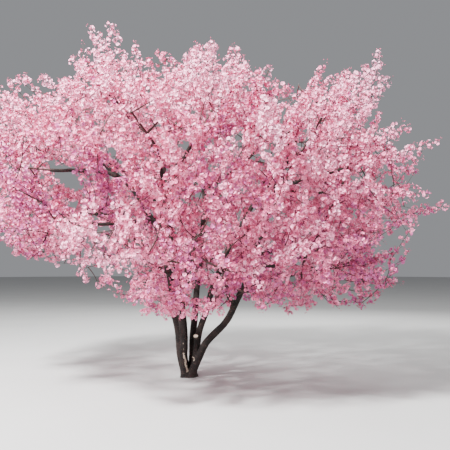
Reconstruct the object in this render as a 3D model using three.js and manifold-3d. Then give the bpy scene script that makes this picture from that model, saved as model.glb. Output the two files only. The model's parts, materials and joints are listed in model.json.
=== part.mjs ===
// A spring cherry with several stems, in full blossom. Millimetres, +Z up.
// The origin is on the flat cut under the trunk, at ground level. The front is -Y and +X is to the right.
import * as THREE from 'three';
import { mergeVertices } from 'three/addons/utils/BufferGeometryUtils.js';
import Module from 'manifold-3d';

const wasm = await Module();
wasm.setup();

// The crown: a body with a domed top and a flatter underside, widest halfway up
const CROWN_MIDDLE = new THREE.Vector3(130, 0, 2800);
const CROWN_HALF_WIDTH = 3220;
const CROWN_HALF_DEPTH = 2750;
const CROWN_TOP = 4880;
const DOME_TOP = 4330;
const DOME_POWER = 2.6;
const SKIRT_FOOT = 1000;
const SKIRT_POWER = 4;
// On the left the underside lies higher
const LEFT_LIFT = { from: -500, over: 1200, rise: 600 };
// Leaders that stand up out of the dome
const LEADERS = [
  { x: -1400, y: -100, rise: 900, width: 600 },
  { x: 250, y: 0, rise: 400, width: 600 },
  { x: 2600, y: 0, rise: 780, width: 520 },
  { x: -2450, y: 100, rise: 450, width: 600 },
  { x: 700, y: 1700, rise: 400, width: 600 },
  { x: -1500, y: 1600, rise: 350, width: 600 },
];
// A gap between two layers of boughs runs through the left of the crown, from front to back
const GAP = { x: -1400, z: 2880, halfWidth: 700, halfHeight: 200, backX: -0.22, backZ: 0.13, fall: -0.25 };
// Egg-shaped places at the crown's rim that no spray reaches: left of the tall leader, on the left shoulder,
// in the dip of the top, above and below the two tongues on the right, and low on the left
const OPEN_PLACES = [
  { at: [-2150, -400, 4750], half: [620, 1200, 600] },
  { at: [-2000, -1500, 4000], half: [550, 900, 350] },
  { at: [1300, -1600, 4150], half: [420, 1600, 500] },
  { at: [3100, -500, 3720], half: [600, 1700, 420] },
  { at: [3350, -500, 1920], half: [500, 1500, 420] },
  { at: [-760, -1300, 1000], half: [300, 700, 300] },
];
// Few blossoms grow in the shade of the rest, inside this share of the crown
const SHADE_SHARE = 0.6;
const SHADE_KEEPS_ONE_IN = 5;

// The stems. Azimuth runs from +X towards +Y and lean from the vertical, in degrees, each at even
// distances from foot to tip. The trunk's node holds a stem up to its fork step.
const STEMS = [
  {
    name: 'stem_left', foot: [30, 8], radius: [66, 25], length: 3700, forkAt: 12,
    azimuth: [182, 178, 202], lean: [14, 8, 12, 38, 60],
  },
  {
    name: 'stem_front', foot: [-16, -60], radius: [50, 24], length: 3400, forkAt: 12,
    azimuth: [225, 250, 265], lean: [3, 7, 16, 34, 42],
  },
  {
    name: 'stem_back', foot: [52, 62], radius: [54, 24], length: 3450, forkAt: 12,
    azimuth: [50, 75, 98], lean: [3, 8, 18, 36, 48],
  },
  {
    name: 'stem_right', foot: [68, -4], radius: [54, 25], length: 3550, forkAt: 12,
    azimuth: [10, 8, 44], lean: [4, 16, 22, 36, 50],
  },
  {
    name: 'stem_low_right', foot: [56, -46], radius: [60, 25], length: 3500, forkAt: 12,
    azimuth: [-8, -12, -20], lean: [4, 24, 44, 36, 26, 18, 18, 20, 24, 30, 36],
  },
  {
    name: 'stem_back_left', foot: [-18, 80], radius: [50, 24], length: 3590, forkAt: 12,
    azimuth: [110, 130, 156], lean: [4, 6, 18, 40, 56],
  },
];
const STEM_STEPS = 60;
const STEM_SIDES = 10;
const STEM_KINK = { degrees: 6, waves: 5 };
const RING_EVERY = 4;

// The stool that the stems rise from, and the stub of a pruned branch on it
const STOOL = { x: 36, y: 2, foot: 118, shoulder: 98, height: 110, sides: 16 };
const STUB = { stem: 3, from: 8, end: [135, -122, 590], radius: [37, 31] };
const BELOW_GROUND = 80;
const SOIL_SIZE = 2000;

// The boughs, which lead from the stems to the masses
const BOUGH_STEPS = 24;
const BOUGH_SIDES = 7;
const BOUGH_SPREAD = 1.45; // radius at the base over radius at the tip
const BOUGH_KINK = { sideways: 22, upward: 11, waves: 3 };
const BOUGH_BEND = 0.38; // share of its length over which a bough turns, at each end
const BOUGH_APART = 130; // between two boughs on a stem
const EASY_TURN = 48; // degrees that a bough turns away from its stem without effort
const DROP_COST = 3; // what each length that a bough drops adds to its cost
const DEEPEST_ENTRY = 520; // from a bough's tip to the goal of its mass
const ENTRY_SHARE = 0.5; // the same, as the most that it may be of the way from stem to goal
const ENTRY_STEP = 20;

// The masses of blossom: every spray stands on a spot, and the spots are spread evenly
const MASSES = 24;
const SPRAYS = 440;
const HEART_ROUNDS = 12;
const MASS_STEM = { radius: 22, sides: 5, firstTwig: 70, nodeEvery: 200 };

// The twigs of a mass. A side twig leaves its parent at the next free slot, a share of the way back.
const TWIG = { radius: 6, sides: 3, taper: 0.8, loadPower: 0.55, root: 0.45 };
const SLOTS = { first: 0.12, every: 0.2, most: 4 };
const TURN_COST = 0.5;
const PARENTS_TRIED = 6;

// A spray of blossom at the end of a twig leans outward and upward, and is tested against what is near
// it at some shares of its length, with its reach there as a share of its girth
const SPRAY = { length: 800, girth: 310, widestAt: 0.4, outward: 0.8, upward: 0.5, chance: 1.6 };
const SPRAY_SIZES = [1, 0.85, 0.7, 0.55];
const SPRAY_TESTS = [[0, 0.1], [0.2, 0.22], [0.4, 0.4], [0.7, 0.22], [1, 0.02]];
const SPRAY_ROOM = { times: 1.1, more: 2 };
const SPRAY_PROUD = 0.94; // share of its place at which a spray's tip has to be inside the crown
const DIRECTIONS_TRIED = 12;
const FIRST_SEED = 1000;

const SEAT_GAP = 0.3;
const CUT_GAP = 0.36;
const CLEAR = 20;
const GOAL_CLEAR = 60;
const SAMPLE_EVERY = 30;
const MERGE_WITHIN = 1e-4;
const UP = new THREE.Vector3(0, 0, 1);

const COLOURS = {
  bark: { color: 0x3a2c28, roughness: 0.9, metalness: 0 },
  blossom: { color: 0xe8a6bc, roughness: 0.7, metalness: 0 },
};

const vector = (x, y, z) => new THREE.Vector3(x, y, z);
const numbered = (index) => String(index + 1).padStart(2, '0');

// Chance, the same on every run
const CHANCE = { factor: 16807, modulus: 2147483647 };

function seededRandom(seed) {
  let state = seed;
  return () => {
    state = (state * CHANCE.factor) % CHANCE.modulus;
    return state / CHANCE.modulus;
  };
}

// The n-th of an endless row of points that fill a unit cube evenly. The step solves x ** 4 = x + 1.
const EVEN_STEP = 1.2207440846057596;
const evenPoint = (n) => [1, 2, 3].map((power) => (0.5 + n / EVEN_STEP ** power) % 1);

// The value at share t of a row of values at even distances
function along(values, t) {
  const place = t * (values.length - 1);
  const before = Math.min(Math.floor(place), values.length - 2);
  return THREE.MathUtils.lerp(values[before], values[before + 1], place - before);
}

// The shape of the crown
function planShare(p) {
  return Math.hypot((p.x - CROWN_MIDDLE.x) / CROWN_HALF_WIDTH, (p.y - CROWN_MIDDLE.y) / CROWN_HALF_DEPTH);
}

function ceilingAt(p) {
  const dome = (1 - planShare(p) ** DOME_POWER) ** (1 / DOME_POWER) * (DOME_TOP - CROWN_MIDDLE.z);
  const leaders = LEADERS.map(({ x, y, rise, width }) =>
    rise * Math.exp(-((p.x - x) ** 2 + (p.y - y) ** 2) / width ** 2));
  return Math.min(CROWN_TOP, CROWN_MIDDLE.z + dome + leaders.reduce((sum, rise) => sum + rise, 0));
}

function floorAt(p) {
  const skirt = (1 - planShare(p) ** SKIRT_POWER) ** (1 / SKIRT_POWER) * (CROWN_MIDDLE.z - SKIRT_FOOT);
  const lifted = THREE.MathUtils.smoothstep(LEFT_LIFT.from - p.x, 0, LEFT_LIFT.over);
  return CROWN_MIDDLE.z - skirt + LEFT_LIFT.rise * lifted;
}

function inGap(p) {
  const across = p.x - GAP.x - GAP.backX * p.y;
  const above = p.z - GAP.z - GAP.backZ * p.y - GAP.fall * across;
  return (across / GAP.halfWidth) ** 2 + (above / GAP.halfHeight) ** 2 < 1;
}

function inCrown(p) {
  return planShare(p) < 1 && p.z < ceilingAt(p) && p.z > floorAt(p) && !inGap(p);
}

function inOpenPlace(p) {
  return OPEN_PLACES.some(({ at, half }) =>
    Math.hypot((p.x - at[0]) / half[0], (p.y - at[1]) / half[1], (p.z - at[2]) / half[2]) < 1);
}

const fromMiddle = (p, share) => p.clone().sub(CROWN_MIDDLE).multiplyScalar(share).add(CROWN_MIDDLE);

// The spots that sprays stand on, evenly spread, with fewer in the shade
function spreadSpots(count) {
  const spots = [];
  for (let n = 1; spots.length < count; n += 1) {
    const [a, b, c] = evenPoint(n);
    const p = vector(
      CROWN_MIDDLE.x + (2 * a - 1) * CROWN_HALF_WIDTH,
      CROWN_MIDDLE.y + (2 * b - 1) * CROWN_HALF_DEPTH,
      SKIRT_FOOT + c * (CROWN_TOP - SKIRT_FOOT),
    );
    const shaded = inCrown(fromMiddle(p, 1 / SHADE_SHARE));
    if (inCrown(p) && (!shaded || n % SHADE_KEEPS_ONE_IN === 0)) spots.push(p);
  }
  return spots;
}

// The heart of each mass moves to the middle of the spots that are nearest to it
function nearestHeart(p, hearts) {
  let best = 0;
  hearts.forEach((heart, index) => {
    if (p.distanceTo(heart) < p.distanceTo(hearts[best])) best = index;
  });
  return best;
}

function findHearts(spots) {
  let hearts = spots.slice(0, MASSES).map((p) => p.clone());
  for (let round = 0; round < HEART_ROUNDS; round += 1) {
    const sums = hearts.map(() => ({ total: vector(0, 0, 0), count: 0 }));
    spots.forEach((p) => {
      const own = sums[nearestHeart(p, hearts)];
      own.total.add(p);
      own.count += 1;
    });
    hearts = sums.map(({ total, count }) => total.divideScalar(count));
  }
  return hearts.sort((a, b) => a.z - b.z);
}

// How far p lies inside the space of a mass, which ends halfway to each neighbour's heart
function roomInside(p, own, hearts) {
  return Math.min(...hearts.map((other, index) => (index === own ? Infinity
    : (p.distanceToSquared(other) - p.distanceToSquared(hearts[own])) / (2 * other.distanceTo(hearts[own])))));
}

// A limb is a row of points with a radius at each
function tangent(points, index) {
  const before = points[Math.max(index - 1, 0)];
  const after = points[Math.min(index + 1, points.length - 1)];
  return after.clone().sub(before).normalize();
}

function stemLimb({ name, foot, radius, length, forkAt, azimuth, lean }) {
  const points = [vector(foot[0], foot[1], -BELOW_GROUND)];
  for (let index = 1; index <= STEM_STEPS; index += 1) {
    const t = (index - 0.5) / STEM_STEPS;
    const kink = Math.sin(2 * Math.PI * STEM_KINK.waves * t) * STEM_KINK.degrees;
    const turned = THREE.MathUtils.degToRad(along(azimuth, t) + kink);
    const leaning = THREE.MathUtils.degToRad(along(lean, t) + kink);
    const across = Math.sin(leaning);
    const direction = vector(across * Math.cos(turned), across * Math.sin(turned), Math.cos(leaning));
    points.push(points[index - 1].clone().addScaledVector(direction, length / STEM_STEPS));
  }
  const radii = points.map((_, index) => along(radius, index / STEM_STEPS));
  return { name, forkAt, points, radii };
}

function boughLimb(name, parent, start, startDirection, end, endDirection) {
  const bend = start.distanceTo(end) * BOUGH_BEND;
  const curve = new THREE.CubicBezierCurve3(
    start,
    start.clone().addScaledVector(startDirection, bend),
    end.clone().addScaledVector(endDirection, -bend),
    end,
  );
  const sideways = endDirection.clone().cross(UP).normalize();
  const points = [];
  for (let index = 0; index <= BOUGH_STEPS; index += 1) {
    const t = index / BOUGH_STEPS;
    const kink = Math.sin(Math.PI * t) ** 2 * Math.sin(2 * Math.PI * BOUGH_KINK.waves * t);
    const p = curve.getPoint(t).addScaledVector(sideways, kink * BOUGH_KINK.sideways);
    points.push(p.addScaledVector(UP, kink * BOUGH_KINK.upward));
  }
  const radii = points.map((_, index) => MASS_STEM.radius * along([BOUGH_SPREAD, 1], index / BOUGH_STEPS));
  return { name, parent, points, radii };
}

// Points close enough together to test what comes near a limb or twig
function pointsBetween(from, to) {
  const parts = Math.ceil(from.distanceTo(to) / SAMPLE_EVERY);
  return Array.from({ length: parts + 1 }, (_, part) => from.clone().lerp(to, part / parts));
}

function limbSamples({ points, radii }) {
  return points.slice(1).flatMap((to, index) =>
    pointsBetween(points[index], to).map((p) => ({ p, radius: radii[index] })));
}

function clearOf(p, radius, samples) {
  return samples.every((sample) => p.distanceTo(sample.p) > radius + sample.radius + CLEAR);
}

const allClear = (row, samples) => row.every(({ p, radius }) => clearOf(p, radius, samples));

// A node is the end of a stretch of twig. Side twigs leave that stretch at its slots.
function nextSlot(node) {
  return node.p.clone().lerp(node.foot, SLOTS.first + SLOTS.every * node.children);
}

function growNode(p, parent, foot, stem) {
  return { p, parent, foot, stem, direction: p.clone().sub(foot).normalize(), children: 0, load: 0 };
}

// The goal of a mass's own stem is its heart, or the nearest of its spots that stands clear of the limbs
function findGoal(index, hearts, spots, samples) {
  const own = spots.filter((p) => nearestHeart(p, hearts) === index);
  own.sort((a, b) => a.distanceTo(hearts[index]) - b.distanceTo(hearts[index]));
  return [hearts[index], ...own].find((p) => clearOf(p, GOAL_CLEAR, samples));
}

// The stem of a mass goes from its limb's tip to its goal
function growMassStem(limb, goal) {
  const end = limb.points.length - 1;
  const way = tangent(limb.points, end);
  const entry = limb.points[end].clone().addScaledVector(way, SEAT_GAP);
  const first = entry.clone().addScaledVector(way, MASS_STEM.firstTwig);
  const root = { p: entry, parent: null, stem: true, direction: way, load: 0 };
  const nodes = [root, growNode(first, root, entry, true)];
  const parts = Math.max(1, Math.round(first.distanceTo(goal) / MASS_STEM.nodeEvery));
  for (let part = 1; part <= parts; part += 1) {
    const parent = nodes[nodes.length - 1];
    nodes.push(growNode(first.clone().lerp(goal, part / parts), parent, parent.p, true));
  }
  return nodes;
}

function massStemSamples(limb, goal) {
  return growMassStem(limb, goal).slice(1).flatMap(({ foot, p }) =>
    pointsBetween(foot, p).map((place) => ({ p: place, radius: MASS_STEM.radius })));
}

// Places on the stems that a bough to a goal can leave from, with the least effort first
function boughPlaces(goal, stems) {
  const places = stems.flatMap((stem) => stem.points.map((start, at) => {
    const way = goal.clone().sub(start);
    const turn = THREE.MathUtils.radToDeg(way.angleTo(tangent(stem.points, at)));
    const effort = 1 + Math.max(0, turn - EASY_TURN) / EASY_TURN;
    const drop = Math.max(0, start.z - goal.z);
    return { stem, at, cost: way.length() * effort + drop * DROP_COST };
  }));
  return places
    .filter(({ stem, at }) => at >= stem.forkAt + RING_EVERY && at <= STEM_STEPS - 2 * RING_EVERY)
    .sort((a, b) => a.cost - b.cost);
}

// The point where a bough ends: short of the goal, and inside the space of its mass
function entryPoint(start, goal, index, hearts) {
  const way = goal.clone().sub(start).normalize();
  let back = Math.min(DEEPEST_ENTRY, start.distanceTo(goal) * ENTRY_SHARE);
  const entry = () => goal.clone().addScaledVector(way, -back);
  while (roomInside(entry(), index, hearts) < MASS_STEM.radius + CLEAR) back -= ENTRY_STEP;
  return entry();
}

function growBough(index, hearts, goals, stems, boughs, taken) {
  const goal = goals[index];
  const goalsLeft = goals.filter((other) => other !== goal).map((p) => ({ p, radius: MASS_STEM.radius }));
  for (const { stem, at } of boughPlaces(goal, stems)) {
    const start = stem.points[at];
    const way = goal.clone().sub(start).normalize();
    const leave = tangent(stem.points, at).add(way).normalize();
    const end = entryPoint(start, goal, index, hearts);
    const bough = boughLimb(`bough_${numbered(index)}`, stem, start, leave, end, way);
    const ownStem = massStemSamples(bough, goal);
    const limbs = [...stems.filter((other) => other !== stem), ...boughs];
    const others = [...limbs.flatMap(limbSamples), ...taken, ...goalsLeft];
    const crowded = boughs.some((other) => other.points[0].distanceTo(start) < BOUGH_APART);
    const clear = allClear([...limbSamples(bough), ...ownStem], others) && allClear(ownStem, limbSamples(stem));
    if (!crowded && clear) return bough;
  }
  throw new Error(`no clear way to mass ${numbered(index)}`);
}

// The twigs of a mass: each spot is joined to the nearest twig that has grown already
function growTwigs(index, limb, hearts, goals, spots, samples) {
  const nodes = growMassStem(limb, goals[index]);
  const entry = nodes[0].p;
  const own = spots.filter((p) => nearestHeart(p, hearts) === index && roomInside(p, index, hearts) > CLEAR);
  own.sort((a, b) => a.distanceTo(entry) - b.distanceTo(entry));
  own.forEach((p) => {
    const places = nodes.slice(2).filter((node) => node.children < SLOTS.most).map((node) => {
      const foot = nextSlot(node);
      const way = p.clone().sub(foot);
      return { node, foot, cost: way.length() * (1 + TURN_COST * (1 - way.normalize().dot(node.direction))) };
    });
    places.sort((a, b) => a.cost - b.cost);
    const found = places.slice(0, PARENTS_TRIED).find(({ foot }) =>
      pointsBetween(foot, p).every((place) => clearOf(place, TWIG.radius, samples)));
    if (!found) return;
    found.node.children += 1;
    nodes.push(growNode(p, found.node, found.foot, false));
  });
  return nodes;
}

// A spray of blossom on a node that stays in its mass and clear of limbs, twigs and other sprays, or null
function placeSpray(node, index, hearts, samples, twigs, placed, random) {
  const outward = node.p.clone().sub(CROWN_MIDDLE).normalize().multiplyScalar(SPRAY.outward);
  for (const size of SPRAY_SIZES) {
    for (let round = 0; round < DIRECTIONS_TRIED; round += 1) {
      const chance = vector(random() - 0.5, random() - 0.5, random() - 0.5).multiplyScalar(SPRAY.chance);
      const leaning = node.direction.clone().add(outward).add(chance).addScaledVector(UP, SPRAY.upward);
      const direction = leaning.normalize();
      const length = SPRAY.length * size;
      const girth = SPRAY.girth * size;
      const at = (share) => node.p.clone().addScaledVector(direction, share * length);
      const tests = SPRAY_TESTS.map(([share, width]) => ({ p: at(share), radius: girth * width }));
      const fits = inCrown(fromMiddle(at(1), SPRAY_PROUD))
        && tests.every(({ p, radius }) =>
          roomInside(p, index, hearts) > radius * SPRAY_ROOM.times + SPRAY_ROOM.more
          && clearOf(p, radius * SPRAY_ROOM.times, samples)
          && twigs.every((twig) => p.distanceTo(twig) > radius || twig.distanceTo(node.p) < MASS_STEM.firstTwig)
          && placed.every((other) => other.tests.every((test) => p.distanceTo(test.p) > radius + test.radius)));
      if (fits) return { widest: at(SPRAY.widestAt), tip: at(1), girth, direction, tests };
    }
  }
  return null;
}

// Places the sprays, drops those in open places and twigs that carry none, and works out each twig's load
function dressTwigs(index, nodes, hearts, samples) {
  const random = seededRandom(FIRST_SEED + index);
  const placed = [];
  nodes.filter((node) => !node.stem).reverse().forEach((node) => {
    const others = nodes.filter((other) => other.parent && other !== node);
    const twigs = others.flatMap((other) => pointsBetween(other.foot, other.p));
    node.spray = placeSpray(node, index, hearts, samples, twigs, placed, random);
    if (node.spray) placed.push(node.spray);
  });
  nodes.filter(({ spray }) => spray && inOpenPlace(spray.tip)).forEach((node) => {
    node.spray = null;
  });
  for (let at = nodes.length - 1; at > 0; at -= 1) {
    const node = nodes[at];
    node.load += node.spray ? 1 : 0;
    node.parent.load += node.load;
  }
  return nodes.filter((node) => node.load > 0);
}

// Solids
function solidOf(geometry) {
  geometry.deleteAttribute('normal');
  geometry.deleteAttribute('uv');
  const merged = mergeVertices(geometry, MERGE_WITHIN);
  return new wasm.Manifold(new wasm.Mesh({
    numProp: 3,
    vertProperties: new Float32Array(merged.attributes.position.array),
    triVerts: new Uint32Array(merged.index.array),
  }));
}

function geometryOf(solid) {
  const { vertProperties, triVerts } = solid.getMesh();
  const geometry = new THREE.BufferGeometry();
  geometry.setAttribute('position', new THREE.BufferAttribute(vertProperties, 3));
  geometry.setIndex(new THREE.BufferAttribute(triVerts, 1));
  geometry.computeVertexNormals();
  return geometry;
}

// The main body of a solid, with loose scraps dropped and sealed hollows filled
function mainBody(solid) {
  return solid.decompose().sort((a, b) => b.volume() - a.volume())[0];
}

// A cylinder of many rings, each moved to its place and turned square to its direction.
// A last radius of 0 makes a point.
function tubeSolid(points, directions, radii, sides) {
  const last = points.length - 1;
  const geometry = new THREE.CylinderGeometry(radii[last] ? 1 : 0, 1, last, sides, last);
  geometry.rotateX(Math.PI / 2);
  const turns = [new THREE.Quaternion().setFromUnitVectors(UP, directions[0])];
  for (let ring = 1; ring <= last; ring += 1) {
    const bend = new THREE.Quaternion().setFromUnitVectors(directions[ring - 1], directions[ring]);
    turns.push(bend.multiply(turns[ring - 1]));
  }
  const position = geometry.attributes.position;
  for (let at = 0; at < position.count; at += 1) {
    const ring = Math.round(position.getZ(at) + last / 2);
    const corner = vector(position.getX(at), position.getY(at), 0);
    corner.setLength(corner.length() > MERGE_WITHIN ? radii[ring] : 0);
    corner.applyQuaternion(turns[ring]).add(points[ring]);
    position.setXYZ(at, corner.x, corner.y, corner.z);
  }
  return solidOf(geometry);
}

// A stretch of a limb. One that starts above the foot keeps a small gap to what it stands on.
function limbSolid(limb, from, to, sides, grow = 0) {
  const rings = [];
  for (let ring = from; ring < to; ring += RING_EVERY) rings.push(ring);
  rings.push(to);
  const points = rings.map((ring) => limb.points[ring].clone());
  const directions = rings.map((ring) => tangent(limb.points, ring));
  if (from > 0) points[0].addScaledVector(directions[0], SEAT_GAP);
  points[points.length - 1].addScaledVector(directions[directions.length - 1], grow);
  return tubeSolid(points, directions, rings.map((ring) => limb.radii[ring] + grow), sides);
}

function stoolSolid() {
  const { x, y, foot, shoulder, height, sides } = STOOL;
  const geometry = new THREE.CylinderGeometry(shoulder, foot, height, sides);
  geometry.rotateX(Math.PI / 2);
  geometry.translate(x, y, height / 2 - 1);
  return solidOf(geometry);
}

function stubSolid(stem) {
  const foot = stem.points[STUB.from];
  const end = vector(...STUB.end);
  const direction = end.clone().sub(foot).normalize();
  return tubeSolid([foot, end], [direction, direction], STUB.radius, BOUGH_SIDES);
}

function trunkSolid(stems) {
  const arms = stems.map((stem) => limbSolid(stem, 0, stem.forkAt, STEM_SIDES));
  const pieces = [stubSolid(stems[STUB.stem]), ...arms];
  const soil = new THREE.BoxGeometry(SOIL_SIZE, SOIL_SIZE, SOIL_SIZE);
  soil.translate(0, 0, -SOIL_SIZE / 2);
  return mainBody(pieces.reduce((sum, piece) => sum.add(piece), stoolSolid()).subtract(solidOf(soil)));
}

// A bough is cut clear of the stem that it grows from
function boughSolid(bough) {
  const { parent } = bough;
  const stem = limbSolid(parent, parent.forkAt, STEM_STEPS, STEM_SIDES, CUT_GAP);
  return mainBody(limbSolid(bough, 0, BOUGH_STEPS, BOUGH_SIDES).subtract(stem));
}

const twigRadius = (node) => Math.min(MASS_STEM.radius, TWIG.radius * node.load ** TWIG.loadPower);

// A twig, rooted in the middle of what carries it, and the spray that it ends in
function twigSolid(node) {
  const { spray, direction } = node;
  const root = Math.min(twigRadius(node), twigRadius(node.parent) * TWIG.root);
  const points = [node.foot, node.p];
  const directions = [direction, direction];
  const radii = [root, twigRadius(node) * TWIG.taper];
  if (spray) {
    points.push(spray.widest, spray.tip);
    directions[1] = direction.clone().add(spray.direction).normalize();
    directions.push(spray.direction, spray.direction);
    radii.push(spray.girth / 2, 0);
  }
  return tubeSolid(points, directions, radii, TWIG.sides);
}

function massSolid(nodes) {
  const stem = nodes.filter((node) => node.stem);
  const places = stem.map(({ p }) => p);
  const directions = stem.map(({ direction }) => direction);
  const radii = stem.map((node) => (node.parent ? twigRadius(node) : MASS_STEM.radius));
  const twigs = nodes.filter((node) => !node.stem).map(twigSolid);
  const stemSolid = tubeSolid(places, directions, radii, MASS_STEM.sides);
  return mainBody(twigs.reduce((sum, twig) => sum.add(twig), stemSolid));
}

// The tree
const spots = spreadSpots(SPRAYS);
const hearts = findHearts(spots);
const stems = STEMS.map(stemLimb);
const goals = hearts.map((_, index) => findGoal(index, hearts, spots, stems.flatMap(limbSamples)));
const limbOfMass = new Map(stems.map((stem) => [nearestHeart(stem.points[STEM_STEPS], hearts), stem]));
const massStems = [...limbOfMass].flatMap(([index, stem]) => massStemSamples(stem, goals[index]));
const boughs = [];
goals.forEach((goal, index) => {
  if (limbOfMass.has(index)) return;
  const bough = growBough(index, hearts, goals, stems, boughs, massStems);
  boughs.push(bough);
  massStems.push(...massStemSamples(bough, goal));
  limbOfMass.set(index, bough);
});
const samples = [...stems, ...boughs].flatMap(limbSamples);

const tree = new THREE.Group();
tree.name = 'cherry_tree';

function addNode(name, solid, look) {
  const mesh = new THREE.Mesh(geometryOf(solid), new THREE.MeshStandardMaterial(COLOURS[look]));
  mesh.name = name;
  tree.add(mesh);
}

addNode('trunk', trunkSolid(stems), 'bark');
stems.forEach((stem) => addNode(stem.name, limbSolid(stem, stem.forkAt, STEM_STEPS, STEM_SIDES), 'bark'));
boughs.forEach((bough) => addNode(bough.name, boughSolid(bough), 'bark'));
hearts.forEach((_, index) => {
  const nodes = growTwigs(index, limbOfMass.get(index), hearts, goals, spots, samples);
  addNode(`blossom_${numbered(index)}`, massSolid(dressTwigs(index, nodes, hearts, samples)), 'blossom');
});

export default tree;
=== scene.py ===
# %% [markdown]
# # A cherry in full blossom
# This lesson dresses a plain model of an ornamental cherry: six dark stems that rise from one stool, boughs
# that lead off them, and a broad crown of pink sprays. The plain model gives the true places and sizes. Here
# each of its limbs gets real bark, and each of its masses is grown again, by the same rule, down to the
# flower. The imported model is loaded first.

# %% Load the frame
import json
import math

import bpy
import numpy as np
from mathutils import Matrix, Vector, noise

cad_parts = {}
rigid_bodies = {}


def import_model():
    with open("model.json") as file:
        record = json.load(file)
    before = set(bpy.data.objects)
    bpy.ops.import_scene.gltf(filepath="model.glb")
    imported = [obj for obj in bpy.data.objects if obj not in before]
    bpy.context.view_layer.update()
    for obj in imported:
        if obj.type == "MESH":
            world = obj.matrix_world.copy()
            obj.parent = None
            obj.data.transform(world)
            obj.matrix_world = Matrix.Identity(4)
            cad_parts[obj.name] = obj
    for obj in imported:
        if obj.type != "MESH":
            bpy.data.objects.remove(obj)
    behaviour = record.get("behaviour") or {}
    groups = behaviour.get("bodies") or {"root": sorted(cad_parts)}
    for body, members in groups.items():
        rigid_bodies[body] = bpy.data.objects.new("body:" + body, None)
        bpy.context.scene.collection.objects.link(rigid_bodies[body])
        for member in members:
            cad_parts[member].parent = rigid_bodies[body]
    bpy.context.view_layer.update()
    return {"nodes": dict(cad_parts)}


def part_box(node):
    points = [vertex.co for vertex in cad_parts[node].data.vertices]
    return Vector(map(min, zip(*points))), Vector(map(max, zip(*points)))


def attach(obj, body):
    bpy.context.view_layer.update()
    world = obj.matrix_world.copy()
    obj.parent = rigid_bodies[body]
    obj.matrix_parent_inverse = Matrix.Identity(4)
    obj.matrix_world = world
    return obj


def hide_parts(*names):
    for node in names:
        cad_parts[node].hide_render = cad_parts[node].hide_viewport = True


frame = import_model()
print("nodes in the plain model:", len(frame["nodes"]))

# %% [markdown]
# ## Camera and light
# The tree was seen from eye height, 9 m in front of it, with the view tipped up a little, so that the horizon
# lies below the picture's middle. A normal lens on a full-size sensor gives that view. One soft lamp stands
# high on the left for the sun's side, a weaker one fills from the right, one lights the crown's back, and a
# pale sky does the rest, so no shadow is hard. All lamps point at the middle of the crown.

# %% Camera and light
EYE = (0.55, -9.06, 1.65)
LENS = 50
SENSOR = 36
PICTURE_WIDTH = 450
HORIZON_BELOW_MIDDLE = 36  # pixels
TIPPED_UP = math.atan(HORIZON_BELOW_MIDDLE * SENSOR / (LENS * PICTURE_WIDTH))
CROWN_CENTRE = (0.1, 0, 2.8)
LAMPS = [  # name, place, size, power
    ("sun_side", (-5.5, -7, 11), 1.6, 9600),
    ("fill_side", (8, -7, 5), 6, 300),
    ("back_side", (3, 9, 8), 6, 1500),
]
SKY = {"colour": (0.93, 0.95, 1, 1), "strength": 0.31}

camera = bpy.data.objects.new("camera", bpy.data.cameras.new("camera"))
camera.data.lens = LENS
camera.location = EYE
camera.rotation_euler = (math.pi / 2 + TIPPED_UP, 0, 0)
bpy.context.scene.collection.objects.link(camera)
bpy.context.scene.camera = camera


def add_lamp(name, place, size, power):
    lamp = bpy.data.objects.new(name, bpy.data.lights.new(name, "AREA"))
    lamp.data.size = size
    lamp.data.energy = power
    lamp.location = place
    lamp.rotation_euler = (Vector(CROWN_CENTRE) - Vector(place)).to_track_quat("-Z", "Y").to_euler()
    bpy.context.scene.collection.objects.link(lamp)


for lamp in LAMPS:
    add_lamp(*lamp)

sky = bpy.data.worlds.new("sky")
bpy.context.scene.world = sky
sky.use_nodes = True
sky.node_tree.nodes["Background"].inputs["Color"].default_value = SKY["colour"]
sky.node_tree.nodes["Background"].inputs["Strength"].default_value = SKY["strength"]
print("camera,", len(LAMPS), "lamps and a sky")

# %% [markdown]
# ## Node maths that reads as maths
# Every finish below is worked out by nodes, and so is all that repeats. Wiring nodes by hand hides the idea,
# so a small class stands for what comes out of a node, and the signs + - * / on it add Math nodes, as a few
# plain words do. A second class makes any other node in one call: its kind, its settings, and what goes into
# its sockets.

# %% What a node gives, and a tree of nodes
class Signal:
    """A number, a vector or a shape that a node gives. Signs on it add nodes."""

    def __init__(self, wiring, socket):
        self.wiring = wiring
        self.socket = socket

    def joined(self, operation, *values):
        return self.wiring.node("ShaderNodeMath", {"operation": operation}, *values)

    def __add__(self, other):
        return self.joined("ADD", self, other)

    def __radd__(self, other):
        return self.joined("ADD", other, self)

    def __sub__(self, other):
        return self.joined("SUBTRACT", self, other)

    def __rsub__(self, other):
        return self.joined("SUBTRACT", other, self)

    def __mul__(self, other):
        return self.joined("MULTIPLY", self, other)

    def __rmul__(self, other):
        return self.joined("MULTIPLY", other, self)

    def __truediv__(self, other):
        return self.joined("DIVIDE", self, other)

    def root(self):
        return self.joined("SQRT", self)

    def unsigned(self):
        return self.joined("ABSOLUTE", self)

    def or_more(self, other):
        return self.joined("MAXIMUM", self, other)

    def step(self, low, high):
        """0 below low, 1 above high, and smooth between them."""
        settings = {"interpolation_type": "SMOOTHSTEP"}
        return self.wiring.node("ShaderNodeMapRange", settings, self, low, high, 0, 1)

    def scaled(self, x, y, z):
        return self.wiring.node("ShaderNodeVectorMath", {"operation": "MULTIPLY"}, self, (x, y, z))


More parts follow.
